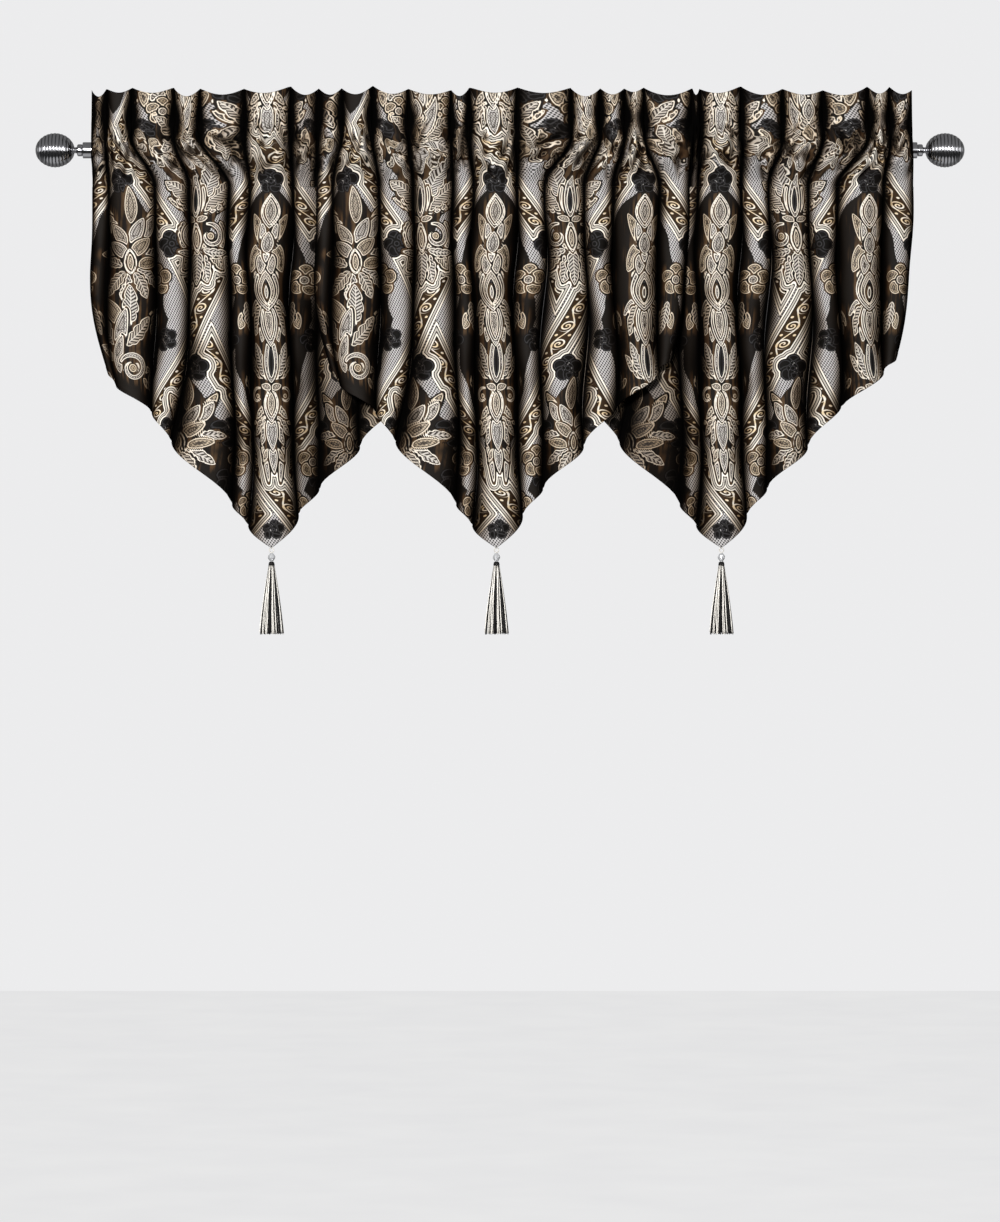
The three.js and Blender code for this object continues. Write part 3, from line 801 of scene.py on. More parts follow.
def light_motif(graph, light, speck, mark, rise, rib):
    """Colour of the light motifs: feathered leaves, and petals with a core and flecks."""
    is_leaf = mark.above((1 + LOBE.mark) / 2, 0.1)
    tint = mark - is_leaf * LOBE.mark
    fill = graph.mix(tint, FILL_SILVER, FILL_GOLD)
    fill = graph.mix(rise.below(FOOT.reach, FOOT.fade) * FOOT.share, fill, BROWN)
    off_rib = abs(rib)
    feather = (rise * FEATHER.rise - off_rib * FEATHER.slant).wave(FEATHER.pitch)
    leaf = graph.mix(feather.above(0.5, FEATHER.soft), VEIN, fill)
    leaf = graph.mix(off_rib.below(FEATHER.rib), leaf, RIB_CREAM)
    petal = graph.mix(light.below(CORE.edge, CORE.soft), fill, graph.mix(CORE.share, fill, BROWN_CORE))
    petal = graph.mix(speck * SPECK.on_petals, petal, VEIN)
    petal = graph.mix(light.between(*INNER_LINE), petal, VEIN)
    colour = graph.mix(is_leaf, petal, leaf)
    colour = graph.mix(light.between(*DARK_LINE), colour, BROWN_LINE)
    outline = graph.mix(tint * GOLD_SHARE, OUTLINE_CREAM, OUTLINE_GOLD)
    return graph.mix(light.between(*OUTLINE), colour, outline)


def damask_face():
    graph = new_material("damask_face")
    flat, s, z, lit = graph.attribute("flat")
    _, light, black, silver = graph.attribute("art_parts")
    _, band, along, across = graph.attribute("art_band")
    _, mark, rise, rib = graph.attribute("art_fill")

    streak = graph.noise(flat, STREAK.scale, STREAK.detail, STREAK.stretch)
    brown_share = streak.below(STREAK.share, STREAK.soft) * light.below(STREAK.near, STREAK.fade)
    colour = graph.mix(brown_share, GROUND, BROWN_THREAD)

    speck = specks(graph, s, z)
    silver_cloth = graph.mix(graph.noise(flat, FACE.mottle), SILVER, SILVER_DULL)
    is_silver = silver.below(0.0)
    colour = graph.mix(is_silver, colour, graph.mix(speck, silver_cloth, SILVER_FLECK))

    filler = band_filler(graph, along, across) * band.below(FILLER.inside)
    filler_cloth = graph.mix(along.wave(FILLER.shimmer), BAND_GOLD, CREAM_SOFT)
    band_cloth = graph.mix(filler, BAND_GROUND, filler_cloth)
    for inner, outer, tone in BAND_EDGE:
        band_cloth = graph.mix(band.between(inner, outer), band_cloth, tone)
    colour = graph.mix(band.below(0.0), colour, band_cloth)

    is_black = black.below(0.0)
    colour = graph.mix(is_black, colour, graph.mix(black.between(*BLACK_RING), BLACK, GREY_LINE))
    is_light = light.below(0.0)
    colour = graph.mix(is_light, colour, light_motif(graph, light, speck, mark, rise, rib))
    # Painted shade: where the cloth is little lit, its colour takes a warm cast and falls to near black,
    # and its gloss is dimmed
    colour = graph.mix(1.0 - lit, colour, SHADE_TINT, "MULTIPLY")
    colour = graph.mix(lit, DEEP_SHADE, colour)

    raised = graph.math("MAXIMUM", is_light, is_silver * (1.0 - is_black) * FACE.silver_rise)
    height = s.wave(FACE.warp) * z.wave(FACE.weft) * FACE.thread_rise + raised
    return graph.finish(
        Base_Color=colour,
        Roughness=FACE.rough - raised * FACE.rough_loss,
        Specular_IOR_Level=(raised * FACE.gloss_gain + FACE.gloss) * lit,
        Normal=graph.bump(height, FACE.bump, FACE.height),
    )


def damask_reverse():
    """The pattern shows faintly on the dark back, with painted shade darkest in the hollows behind the
    ridges.
    """
    graph = new_material("damask_reverse")
    flat, _, z, lit = graph.attribute("flat")
    _, light, _, silver = graph.attribute("art_parts")
    _, band, _, _ = graph.attribute("art_band")
    thread = z.wave(REVERSE.pitch)
    streak = graph.noise(flat, *REVERSE.streak)
    colour = graph.mix(streak, REVERSE.ground, REVERSE.pale)
    layers = [
        (silver.below(0.0, REVERSE.soft), REVERSE.silver),
        (band.below(0.0, REVERSE.soft), REVERSE.band),
        (light.below(0.0, REVERSE.soft), REVERSE.light),
        (light.between(*REVERSE.edge), REVERSE.line),
        (thread * REVERSE.thread_share, REVERSE.thread),
        # painted shade, darkest in the hollows behind the front's ridges
        (lit * REVERSE.fade_share, REVERSE.fade),
    ]
    for share, tone in layers:
        colour = graph.mix(share, colour, tone)
    return graph.finish(
        Base_Color=colour,
        Roughness=streak * REVERSE.rough_gain + REVERSE.rough,
        Sheen_Weight=0.1,
        Specular_IOR_Level=0.35,
        Normal=graph.bump(thread, REVERSE.bump, REVERSE.height),
    )


# Folds of a panel, seen from above: half ellipses with rounded creases between them

FINE_STEP = 0.5
FOLD_POINTS = 240
CREASE_ROUND = 3.2
# Painted shade beside a crease, in mm: where it is dark and where fully open, at the seam and low down,
# how uneven that is, the painted light left on a fold's side, and a darker painted wedge in the frill
# above the stitches
GUTTER = Sizes(dark=1.0, open=12.5, open_low=21.0, drop=260.0, side=0.3, uneven=0.42,
               uneven_down=(53.0, 29.0), uneven_across=(31.0, -47.0), wedge=4.5, wedge_z=48.0,
               wedge_reach=26.0)
CREASE_BACK = 1.9  # how much the coarser back stands off in a crease
BACK_STEP = 4  # front columns or rows for one on the back

Columns = namedtuple("Columns", "flat fold share stand hem")


def openness(share, width, ridge, z, flat):
    """How much light reaches a fold, painted into the colour as shade: least beside its creases, 1 on top
    of its ridge.
    """
    long, short = (np.sin(z / down + flat / across)
                   for down, across in zip(GUTTER.uneven_down, GUTTER.uneven_across))
    from_crease = np.minimum(share, 1 - share) * width * (1 + GUTTER.uneven * long * short)
    fully_open = lerp(GUTTER.open, GUTTER.open_low, smooth((SEAM_Z - z) / GUTTER.drop))
    wedge = np.exp(-(((z - GUTTER.wedge_z) / GUTTER.wedge_reach) ** 2))
    dark = GUTTER.dark + GUTTER.wedge * wedge
    gutter = smooth((from_crease - dark) / (fully_open - GUTTER.dark))
    return gutter * lerp(GUTTER.side, 1, np.clip(ridge, 0, 1) ** 2)


def fold_columns(step):
    """Columns across a panel: flat place, fold, share of that fold, forward stand and hem height."""
    turn = np.linspace(0, np.pi, FOLD_POINTS, endpoint=False)
    pairs = list(zip(PANEL_FOLDS, PANEL_FOLDS[1:]))
    x = [lerp(before.end, fold.end, (1 - np.cos(turn)) / 2) for before, fold in pairs]
    x = np.append(np.concatenate(x), FOLD_ENDS[-1])
    stand = np.append(np.concatenate([fold.depth * np.sin(turn) for _, fold in pairs]), 0)
    length = np.append(0, np.cumsum(np.hypot(np.diff(x), np.diff(stand))))
    crease_at = length[::FOLD_POINTS]
    middle = crease_at[POINT_FOLD - 1 : POINT_FOLD + 1].mean()

    even = np.arange(0, length[-1], FINE_STEP)
    x, stand = (blur(np.interp(even, length, part), CREASE_ROUND / FINE_STEP) for part in (x, stand))
    strips = [BACK_STEP * round(part / step / BACK_STEP) for part in (middle, even[-1] - middle)]
    left = np.linspace(0, middle, strips[0], endpoint=False)
    at = np.concatenate([left, np.linspace(middle, even[-1], strips[1] + 1)])
    column_x = np.interp(at, even, x)
    fold = np.clip(np.searchsorted(FOLD_ENDS, column_x, "right"), 1, len(FOLD_ENDS) - 1)
    share = (column_x - FOLD_ENDS[fold - 1]) / (FOLD_ENDS[fold] - FOLD_ENDS[fold - 1])

    hem_at = np.insert(crease_at, POINT_FOLD, middle)
    hem = np.interp(at, hem_at, np.insert(FOLD_HEMS, POINT_FOLD, TIP_Z))
    return Columns(at - middle, fold, share, np.interp(at, even, stand), hem)


# Panels

PANEL_STEP = 2.05
BACK_STRIPS = 53
PANEL_ROWS = BACK_STRIPS * BACK_STEP + 1
PANEL_DOWN = np.linspace(0, 1, PANEL_ROWS)[None, :]
SEAM_GAP = 0.06
PANEL_TOP = SEAM_Z - SEAM_GAP
LOOSE_DROP = 140.0
# Sideways wander of the folds: its size, and how far apart its turns are down and across the cloth
WANDER = [(5.0, 88.0, 62.0), (2.6, 41.0, 37.0)]
UNEVEN = Sizes(share=0.14, down=58.0, across=41.0)
# Fine gathers below the seam: size, length and phase of three waves, and where they come and go
RIPPLE = [(0.45, 2.3, 1.7), (0.36, 3.7, 3.57), (0.315, 1.6, 5.61)]
RIPPLE_DROP = Sizes(start=6.0, fade=24.0)
HEM_TURN = Sizes(depth=11.0, swell=0.45, edge=2.0)
# Places of a panel on its map: start and size of its width, and of its height on the back and front
PANEL_MAP = Sizes(across=(0.01, 0.98), back=(0.01, 0.33), front=(0.36, 0.63))


def tucked(panel, x):
    """How far a side panel has passed behind the middle one, from 0 to 1, at places from its point."""
    if not panel.tuck:
        return np.zeros(x.shape)
    start, end = panel.tuck
    return smooth((x - start) / (end - start))


def panel_middle(panel, columns):
    """Middle of the cloth as an array of columns and rows of points."""
    flat, fold, share, stand, hem = (part[:, None] for part in columns)
    z = lerp(PANEL_TOP, hem, PANEL_DOWN)
    drop = SEAM_Z - z
    loose = smooth(drop / LOOSE_DROP)
    x = lerp(FOLD_ENDS[fold - 1], FOLD_ENDS[fold], share)
    x = x + lerp(FOLD_SWAYS[fold - 1], FOLD_SWAYS[fold], share) * PANEL_DOWN**3
    for size, along, across in WANDER:
        x = x + size * np.sin((z - TIP_Z) / along + flat / across) * loose
    full = lerp(DEPTH_GAIN.above, DEPTH_GAIN.hem, PANEL_DOWN**3)
    depth = lerp(SEAM_WAVE, full, smooth(drop / OPEN_DROP))
    depth = depth * (1 + UNEVEN.share * np.sin((z - TIP_Z) / UNEVEN.down + flat / UNEVEN.across) * loose)
    behind = tucked(panel, x)
    back = behind * lerp(TUCK.seam, TUCK.low, smooth(drop / TUCK.drop))
    ripple = sum(size * np.sin(flat / length + phase) for size, length, phase in RIPPLE)
    ripple = ripple * np.exp(-drop / RIPPLE_DROP.fade) * smooth(drop / RIPPLE_DROP.start)
    y = panel.base + back - depth * (1 - TUCK.depth_loss * behind) * stand + ripple
    return np.stack([panel.point + x, y, z], 2)


def front_normals(points):
    normals = np.cross(np.gradient(points, axis=1), np.gradient(points, axis=0))
    return normals / np.linalg.norm(normals, axis=2, keepdims=True)


def rim_triangles(front, back, flip):
    """Triangles between a front edge and a back edge that has fewer strips."""
    half = BACK_STEP // 2
    low, high = back[:-1], back[1:]
    triangles = [np.stack([front[half::BACK_STEP], high, low], 1)]
    for k in range(BACK_STEP):
        here, ahead = front[k:-1:BACK_STEP], front[k + 1 :: BACK_STEP]
        triangles.append(np.stack([here, ahead, low if k < half else high], 1))
    triangles = np.concatenate(triangles)
    return triangles[:, ::-1] if flip else triangles


def with_back(grid):
    """Values of the front, then those of the coarser back, from a grid of columns and rows."""
    back = grid[::BACK_STEP, ::BACK_STEP]
    return np.concatenate([grid.reshape(-1, *grid.shape[2:]), back.reshape(-1, *grid.shape[2:])])


def panel_art(columns):
    """Damask of the front and the back of a panel, the same for all three."""
    z = lerp(PANEL_TOP, columns.hem[:, None], PANEL_DOWN)
    s = np.broadcast_to(columns.flat[:, None], z.shape)
    return draw_damask(with_back(s), with_back(z))


def make_panel(panel, columns, art, materials):
    points = panel_middle(panel, columns)
    normals = front_normals(points)
    heights = points[:, :, 2]
    flat, fold, share, stand, hem = (part[:, None] for part in columns)
    swell = HEM_TURN.swell * smooth((HEM_TURN.depth - (heights - hem)) / HEM_TURN.edge)
    half = (CLOTH / 2 + swell)[:, :, None]
    front = points + normals * half
    ridge = stand / FOLD_DEPTHS[fold]
    stand_off = CREASE_BACK * (1 - np.clip(ridge, 0, 1)[:, :, None]) ** 3
    back = (points - normals * (half + stand_off))[::BACK_STEP, ::BACK_STEP]
    front_at = np.arange(heights.size).reshape(heights.shape)
    back_at = heights.size + np.arange(back[:, :, 0].size).reshape(back.shape[:2])
    rims = np.concatenate([
        rim_triangles(front_at[:, 0], back_at[:, 0], False),
        rim_triangles(front_at[:, -1], back_at[:, -1], True),
        rim_triangles(front_at[0], back_at[0], True),
        rim_triangles(front_at[-1], back_at[-1], False),
    ])
    faces = [
        grid_quads(*front_at.shape),
        grid_quads(*back_at.shape, heights.size, flip=True),
        rims,
    ]
    everything = np.concatenate([front.reshape(-1, 3), back.reshape(-1, 3)])
    piece = new_object(f"cloth_panel_{panel.name}", everything, faces, materials, (0, 1, 0))
    # Painted shade: darker beside the creases and on the folds' sides
    lit = openness(share, FOLD_ENDS[fold] - FOLD_ENDS[fold - 1], ridge, heights, flat)
    # painted shadow where the side panel lies behind the middle one
    lit = lit * (1 - TUCK.shade * tucked(panel, points[:, :, 0] - panel.point))
    store_art(piece, art, with_back(lit))
    keep_sharp(piece, front_at[:, 0])

    across = (art.s - art.s.min()) / np.ptp(art.s)
    up = (art.z - art.z.min()) / np.ptp(art.z)
    is_back = np.arange(len(everything)) >= heights.size
    u = PANEL_MAP.across[0] + PANEL_MAP.across[1] * across
    back_v, front_v = (start + size * up for start, size in (PANEL_MAP.back, PANEL_MAP.front))
    add_map(piece, "OFBake", u, np.where(is_back, back_v, front_v))
    settle(piece, f"panel_{panel.name}")
    return piece


# Heading: a doubled strip gathered round the rod, with a frill above the upper stitches

# Rows of the section: place (0 at the seam, 1 at the upper stitches, 2 at the top of the frill),
# front and back in a crease, the share of a fold's depth by which they move forward on a ridge,
# and the share of that wave that lies behind the mean line.
Level = namedtuple("Level", "place front back front_wave back_wave setback")
HEADING_LEVELS = [
    Level(0.00, -0.3, 3.0, 0.42, 0.12, 0.0),
    Level(0.10, -0.9, 5.4, 0.42, 0.05, 0.0),
    Level(0.25, -6.0, 10.0, 0.45, -0.06, 0.0),
    Level(0.45, -15.6, 14.0, 0.50, -0.12, 0.0),
    Level(0.61, -20.0, 15.8, 0.52, -0.14, 0.0),
    Level(0.80, -20.4, 15.5, 0.52, -0.13, 0.0),
    Level(0.91, -18.4, 11.0, 0.52, -0.03, 0.1),
    Level(1.00, -15.4, -3.4, 0.52, 0.30, 0.2),
    Level(1.12, -13.0, -2.6, 0.58, 0.40, 0.3),
    Level(1.45, -9.0, -2.4, 0.66, 0.56, 0.4),
    Level(2.00, -4.4, -1.0, 0.70, 0.64, 0.4),
]
LEVEL_BLUR = 1.3
HEADING_STEP = 2.6
POCKET_ROWS, FRILL_ROWS = 36, 29
REAR_STEP = 2  # front rows for one row of the rear
LINING_ROWS = [0, 5, 10, 15, 20, 25, 30, 35, 42, 50, 57, 64]  # front rows that the inside has too
# Uneven top of the frill: size and length of a long and a short wave, and the phase of the long one
FRILL_WAVES = Sizes(long=2.2, long_pitch=47.0, phase=1.0, short=1.5, short_pitch=19.0)
FRILL_LAYER = Sizes(start=0.9, share=0.7)  # where the middle run's layer starts to thin, and what is left
CROWN = Sizes(rise=0.8, lining=1.2)  # the top fold above the frill's edge, and the lining below it
RUN_GAP = 900.0  # keeps the flat places of two runs apart, so that their wrinkles differ

# Wrinkles where the pocket is gathered: rows of them by height, how far apart they are, how far they
# reach, how wide they are and how high they stand
Wrinkles = namedtuple("Wrinkles", "height scatter pitch reach width rise")
WRINKLE_ROWS = [
    Wrinkles(32, 9, 17.0, (12, 26), (3.4, 5.2), 6.0),
    Wrinkles(12, 8, 11.0, (8, 18), (3.4, 5.6), 9.5),
    Wrinkles(-8, 8, 11.0, (8, 18), (3.4, 5.6), 10.0),
    Wrinkles(-28, 9, 13.0, (12, 28), (3.4, 5.6), 8.0),
]
WRINKLE = Sizes(seed=7, jitter=0.4, lean=48.0, signs=[-0.8, 1.0], least=0.5, low=-56.0, high=58.0,
                soft=14.0, room=10.0)
# How the pattern is drawn into the wrinkles, and the painted shade in their dents
WRINKLE_PULL = Sizes(s=1.0, z=0.6, columns=3)
WRINKLE_SHADE = Sizes(deep=7.0, share=0.9)
ROD_CLEARANCE = Sizes(gap=0.8, reach=1.3)  # gap before the rod, and how far up and down, in its radii
LINING_GAP = 0.2
HEADING_MAP = (0.005, 0.995)  # from and to on the heading's map, both ways


def heading_columns(columns):
    """Columns of the three runs, each with its head, foot, stand, depth, layer and flat place, its
    share of its gather and that gather's width at the foot and at the head."""
    rows = []
    for run in HEADING_RUNS:
        last = run.first + len(run.creases) - 2
        for i in np.nonzero((columns.fold >= run.first) & (columns.fold <= last))[0]:
            fold = columns.fold[i]
            (head_a, foot_a), (head_b, foot_b) = run.creases[fold - run.first : fold - run.first + 2]
            kept = min(1.0, (foot_b - foot_a) / (FOLD_ENDS[fold] - FOLD_ENDS[fold - 1]))
            share = columns.share[i]
            rows.append((lerp(head_a, head_b, share), lerp(foot_a, foot_b, share),
                         kept * columns.stand[i], kept * FOLD_DEPTHS[fold], run.layer,
                         columns.flat[i], share, foot_b - foot_a, head_b - head_a))
    return np.array(rows).T


def wrinkle_field(s, z):
    """Height of the gathered pocket's wrinkles at flat points, in mm, below zero where they stand out."""
    random = np.random.default_rng(WRINKLE.seed)
    field = np.zeros(np.broadcast_shapes(s.shape, z.shape))
    for row in WRINKLE_ROWS:
        for at in np.arange(s.min(), s.max(), row.pitch):
            centre_s = at + random.uniform(-WRINKLE.jitter, WRINKLE.jitter) * row.pitch
            centre_z = row.height + random.uniform(-1, 1) * row.scatter
            lean = math.radians(90 + random.uniform(-1, 1) * WRINKLE.lean)
            reach, width = random.uniform(*row.reach), random.uniform(*row.width)
            rise = row.rise * random.choice(WRINKLE.signs) * random.uniform(WRINKLE.least, 1.0)
            near = np.nonzero(np.abs(s[:, 0] - centre_s) < reach + 3 * width)[0]
            ds, dz = s[near] - centre_s, z[near] - centre_z
            along = ds * math.cos(lean) + dz * math.sin(lean)
            across = ds * math.sin(lean) - dz * math.cos(lean)
            field[near] += rise * np.exp(-((across / width) ** 2) - (along / reach) ** 2)
    fade = smooth((z - WRINKLE.low) / WRINKLE.soft) * smooth((WRINKLE.high - z) / (2 * WRINKLE.soft))
    return field * fade


def end_caps(loop):
    """Triangles that close the two ends of the heading."""
    count, size = loop.shape[:2]
    caps = []
    for end, flip in ((0, False), (count - 1, True)):
        outline = [Vector((0, y, z)) for _, y, z in loop[end]]
        cap = np.array(tessellate_polygon([outline])) + end * size
        caps.append(cap[:, ::-1] if flip else cap)
    return np.concatenate(caps)


def make_heading(columns, materials):
    parts = [part[:, None] for part in heading_columns(columns)]
    head, foot, stand, depth, layer, flat, share, foot_width, head_width = parts
    place = np.concatenate([np.linspace(0, 1, POCKET_ROWS), np.linspace(1, 2, FRILL_ROWS + 1)[1:]])
    table = np.array(HEADING_LEVELS).T
    front, back, front_wave, back_wave, setback = (
        blur(np.interp(place, table[0], part), LEVEL_BLUR)[None, :] for part in table[1:]
    )
    place = place[None, :]
    top = lerp(HEADER_TOP.ridge, HEADER_TOP.crease, np.abs(2 * share - 1) ** HEADER_TOP.sag)
    top = top + FRILL_WAVES.long * np.sin(flat / FRILL_WAVES.long_pitch + FRILL_WAVES.phase)
    top = top + FRILL_WAVES.short * np.sin(flat / FRILL_WAVES.short_pitch + layer)
    z = np.where(place <= 1, lerp(SEAM_Z, STITCH_Z, place), lerp(STITCH_Z, top, place - 1))
    x = lerp(foot, head, smooth((z - SEAM_Z) / (STITCH_Z - SEAM_Z)))
    run_on = flat + RUN_GAP * np.cumsum(np.diff(flat, axis=0, prepend=flat[:1]) < 0, axis=0)
    pucker = wrinkle_field(run_on, z)

    # Front and back of the strip, with its lining clear of the rod
    pressed = lerp(1.0, FRILL_LAYER.share, smooth(place - FRILL_LAYER.start))
    shift = stand - setback * depth
    front_y = front - layer * pressed - front_wave * shift
    back_y = back - back_wave * shift
    middle = 0.5 * (front_y + back_y)
    lining_y = np.minimum(front_y + WRINKLE.room, middle - LINING_GAP)
    at_rod = np.abs(z) < ROD_CLEARANCE.reach * ROD.radius
    rod_front = -ROD.radius - ROD_CLEARANCE.gap
    lining_y = np.where(at_rod, np.minimum(lining_y, rod_front), lining_y)
    rows = np.arange(z.shape[1])
    lining_y = np.stack([np.interp(rows, LINING_ROWS, row) for row in lining_y[:, LINING_ROWS]])
    front_y = np.minimum(front_y + pucker, lining_y - CLOTH)
    back_y = np.maximum(back_y, middle + CLOTH + LINING_GAP)
    lining_z = np.minimum(z, top - CROWN.lining)
    outside_front = np.stack([x, front_y, z], 2)
    outside_back = np.stack([x, back_y, z], 2)
    lining_front = np.stack([x, lining_y, lining_z], 2)
    lining_back = np.stack([x, np.maximum(back_y - CLOTH, middle + LINING_GAP), lining_z], 2)
    crown = np.stack([x[:, -1:], middle[:, -1:], top + CROWN.rise], 2)
    loop = np.concatenate([
        outside_front, crown, outside_back[:, ::-REAR_STEP],
        lining_back[:, LINING_ROWS], lining_front[:, LINING_ROWS[::-1]],
    ], 1)
    count, size = loop.shape[:2]
    quads = grid_quads(count, size, flip=True, wrap=True)
    is_inside = np.tile(np.arange(size) >= size - 2 * len(LINING_ROWS), count - 1)
    faces = [quads[~is_inside], quads[is_inside], end_caps(loop)]
    piece = new_object("cloth_heading", loop.reshape(-1, 3), faces, materials, (0, 1, 1))

    # Pattern, drawn into the wrinkles, and painted shade
    over = 2 * top - z
    flat_z = np.concatenate([
        z, top, over[:, ::-REAR_STEP], over[:, LINING_ROWS], z[:, LINING_ROWS[::-1]]
    ], 1)
    pull = np.zeros(flat_z.shape)
    pull[:, : z.shape[1]] = pucker
    s = np.broadcast_to(flat, flat_z.shape) + WRINKLE_PULL.s * pull
    drawn_z = flat_z + WRINKLE_PULL.z * np.roll(pull, WRINKLE_PULL.columns, axis=0)
    art = draw_damask(s.ravel(), drawn_z.ravel())
    width = lerp(foot_width, head_width, smooth((flat_z - SEAM_Z) / (STITCH_Z - SEAM_Z)))
    lit = openness(share, width, stand / depth, flat_z, flat)
    # painted shade in the dents of the wrinkles
    lit = lit * (1 - WRINKLE_SHADE.share * smooth(pull / WRINKLE_SHADE.deep))
    # painted shadow on the outer runs beside the middle run
    over_x = foot[layer > 0]
    from_middle = np.maximum(over_x.min() - x[:, :1], x[:, :1] - over_x.max())
    under = np.where(layer > 0, 0, smooth((TUCK.reach - from_middle) / TUCK.reach))
    store_art(piece, art, (lit * (1 - TUCK.shade * under)).ravel())
    keep_sharp(piece, size * np.arange(count))
    u = np.broadcast_to(np.linspace(*HEADING_MAP, count)[:, None], flat_z.shape)
    v = np.broadcast_to(np.linspace(*HEADING_MAP, size)[None, :], flat_z.shape)
    add_map(piece, "OFBake", u.ravel(), v.ravel())
    settle(piece, "heading")
    return piece, outside_back


# Stitches: short thread dashes along the two lines that close the rod pocket

STITCH = Sizes(length=2.6, half=0.22, pitch=4.2, inset=3.0)
STITCH_RINGS = [(0, 0.45), (0.5, 1.0), (1, 0.45)]  # place along a stitch and its thickness there
SEAM_ROW, STITCH_ROW = 2, POCKET_ROWS - 1


def make_stitches(lines, material):
    corners = STITCH.half * np.array([(0, -1, 0), (0, 0, 1), (0, 1, 0), (0, 0, -1)])
    dashes = []
    for line in lines:
        at = np.append(0, np.cumsum(np.linalg.norm(np.diff(line, axis=0), axis=1)))
        starts = np.arange(STITCH.inset, at[-1] - STITCH.inset - STITCH.length, STITCH.pitch)
        rings = []
        for share, size in STITCH_RINGS:
            lengths = starts + share * STITCH.length
            middle = np.stack([np.interp(lengths, at, line[:, axis]) for axis in range(3)], 1)
            rings.append(middle[:, None] + size * corners)
        dashes.append(np.stack(rings, 1))
    dashes = np.concatenate(dashes)
    count, rings, sides = dashes.shape[:3]
    first = rings * sides * np.arange(count)[:, None]
    side_quads = np.concatenate([first + row for row in grid_quads(rings, sides, wrap=True)[:, None, :]])
    end = np.arange(sides)[None, :]
    ends = np.concatenate([first + end[:, ::-1], first + (rings - 1) * sides + end])
    piece = new_object("heading_stitches", dashes.reshape(-1, 3), [side_quads, ends], [material])
    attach(piece, "root")
    return piece


# Rod and finials, turned round the X axis

# The rod's end: how far back and how far in each point lies, in chamfers
ROD_END = [(0, 2), (0, 1), (0.4, 0.3), (1, 0), (3, 0)]
FINIAL = Sizes(start=659.3, collar=19.0, collar_length=8.7, neck=9.0, neck_length=4.0, ball=54.0,
               ball_length=62.0, ribs=11, rib_steps=14, rib_depth=0.8, rib_shape=1.5, edge=2.4,
               edge_steps=8, waist=(0.2, 0.6))
ROUND_SEGMENTS = 96


def turned(along, radius, segments):
    """Points and faces of a closed body turned round X; the first and last points are its poles."""
    angle = np.linspace(0, TURN, segments, endpoint=False)
    ring_x, ring_r = along[1:-1, None], radius[1:-1, None]
    rings = np.stack(np.broadcast_arrays(ring_x, ring_r * np.cos(angle), ring_r * np.sin(angle)), 2)
    count = len(ring_x)
    points = np.concatenate([rings.reshape(-1, 3), [(along[0], 0, 0), (along[-1], 0, 0)]])
    side = np.arange(segments)
    after = (side + 1) % segments
    first, last = np.full(segments, len(points) - 2), np.full(segments, len(points) - 1)
    end = (count - 1) * segments
    caps = np.concatenate([
        np.stack([first, after, side], 1),
        np.stack([last, end + side, end + after], 1),
    ])
    return points, [grid_quads(count, segments, wrap=True), caps]


def make_rod(material):
    half, radius, chamfer = ROD.half_length, ROD.radius, ROD.chamfer
    end = [(half - back * chamfer, radius - inward * chamfer) for back, inward in ROD_END]
    middle = [(x, radius) for x in np.linspace(half - ROD.straight, 0, ROD.rings)]
    right = np.array([(half, 0), *end, *middle])
    profile = np.concatenate([right * (-1, 1), right[-2::-1]])
    points, faces = turned(profile[:, 0], profile[:, 1], ROUND_SEGMENTS)
    settle(new_object("curtain_rod", points, faces, [material]), "rod")


def finial_profile():
    """Collar with rounded edges, narrow neck, then a ball with rounded ribs and sharp grooves."""
    bend = np.linspace(0, np.pi / 2, FINIAL.edge_steps)
    edge, collar, neck = FINIAL.edge, FINIAL.collar / 2, FINIAL.neck / 2
    near = np.stack([edge * (1 - np.cos(bend)), collar - edge * (1 - np.sin(bend))], 1)
    far = near[::-1] * (-1, 1) + (FINIAL.collar_length, 0)
    waist = [(FINIAL.collar_length + FINIAL.waist[0], neck + FINIAL.waist[1])]
    share = np.linspace(0, 1, FINIAL.rib_steps * FINIAL.ribs + 1)
    ball = FINIAL.ball / 2 * np.sqrt(1 - (2 * share - 1) ** 2)
    groove = (1 - np.abs(np.sin(np.pi * FINIAL.ribs * share))) ** FINIAL.rib_shape
    ball = ball - FINIAL.rib_depth * groove * np.sqrt(2 * ball / FINIAL.ball)
    ball = np.maximum(ball, np.where(share < 0.5, neck, 0))
    along = FINIAL.collar_length + FINIAL.neck_length + FINIAL.ball_length * share
    return np.concatenate([[(0, 0)], near, far, waist, np.stack([along, ball], 1)])


def make_finials(material):
    profile = finial_profile()
    points, faces = turned(FINIAL.start + profile[:, 0], profile[:, 1], ROUND_SEGMENTS)
    for name, turn in (("right", (1, 1, 1)), ("left", (-1, -1, 1))):
        piece = new_object(f"finial_ball_{name}", points * turn, faces, [material])
        settle(piece, f"finial_{name}")


# Tassels: a cord loop through the point, a faceted bead, a wrapped head and a skirt of yarn

TIP_SHIFT = Sizes(x=0.5, y=-28.52)
LOOP = Sizes(top=-628.1, diameter=8.6, ply=0.42, twist=9, steps=84, sides=6)
BEAD = Sizes(top=-637.0, diameter=12.0, height=13.0, sides=9)
# Rings of the bead's corners from its foot: share of its radius and of its height, and stagger
BEAD_RINGS = [(0.36, 0.0, 0.0), (0.96, 0.36, 0.5), (0.96, 0.64, 0.0), (0.36, 1.0, 0.5)]
TASSEL_HEAD = Sizes(top=-650.3, diameter=10.0, height=8.2, coils=8, coil_steps=8, coil_depth=0.3,
                    segments=32)
HEAD_SHAPE = [(0.0, 0.9), (0.08, 0.96), (0.45, 1.0), (0.84, 0.86), (1.0, 0.58)]  # height and radius
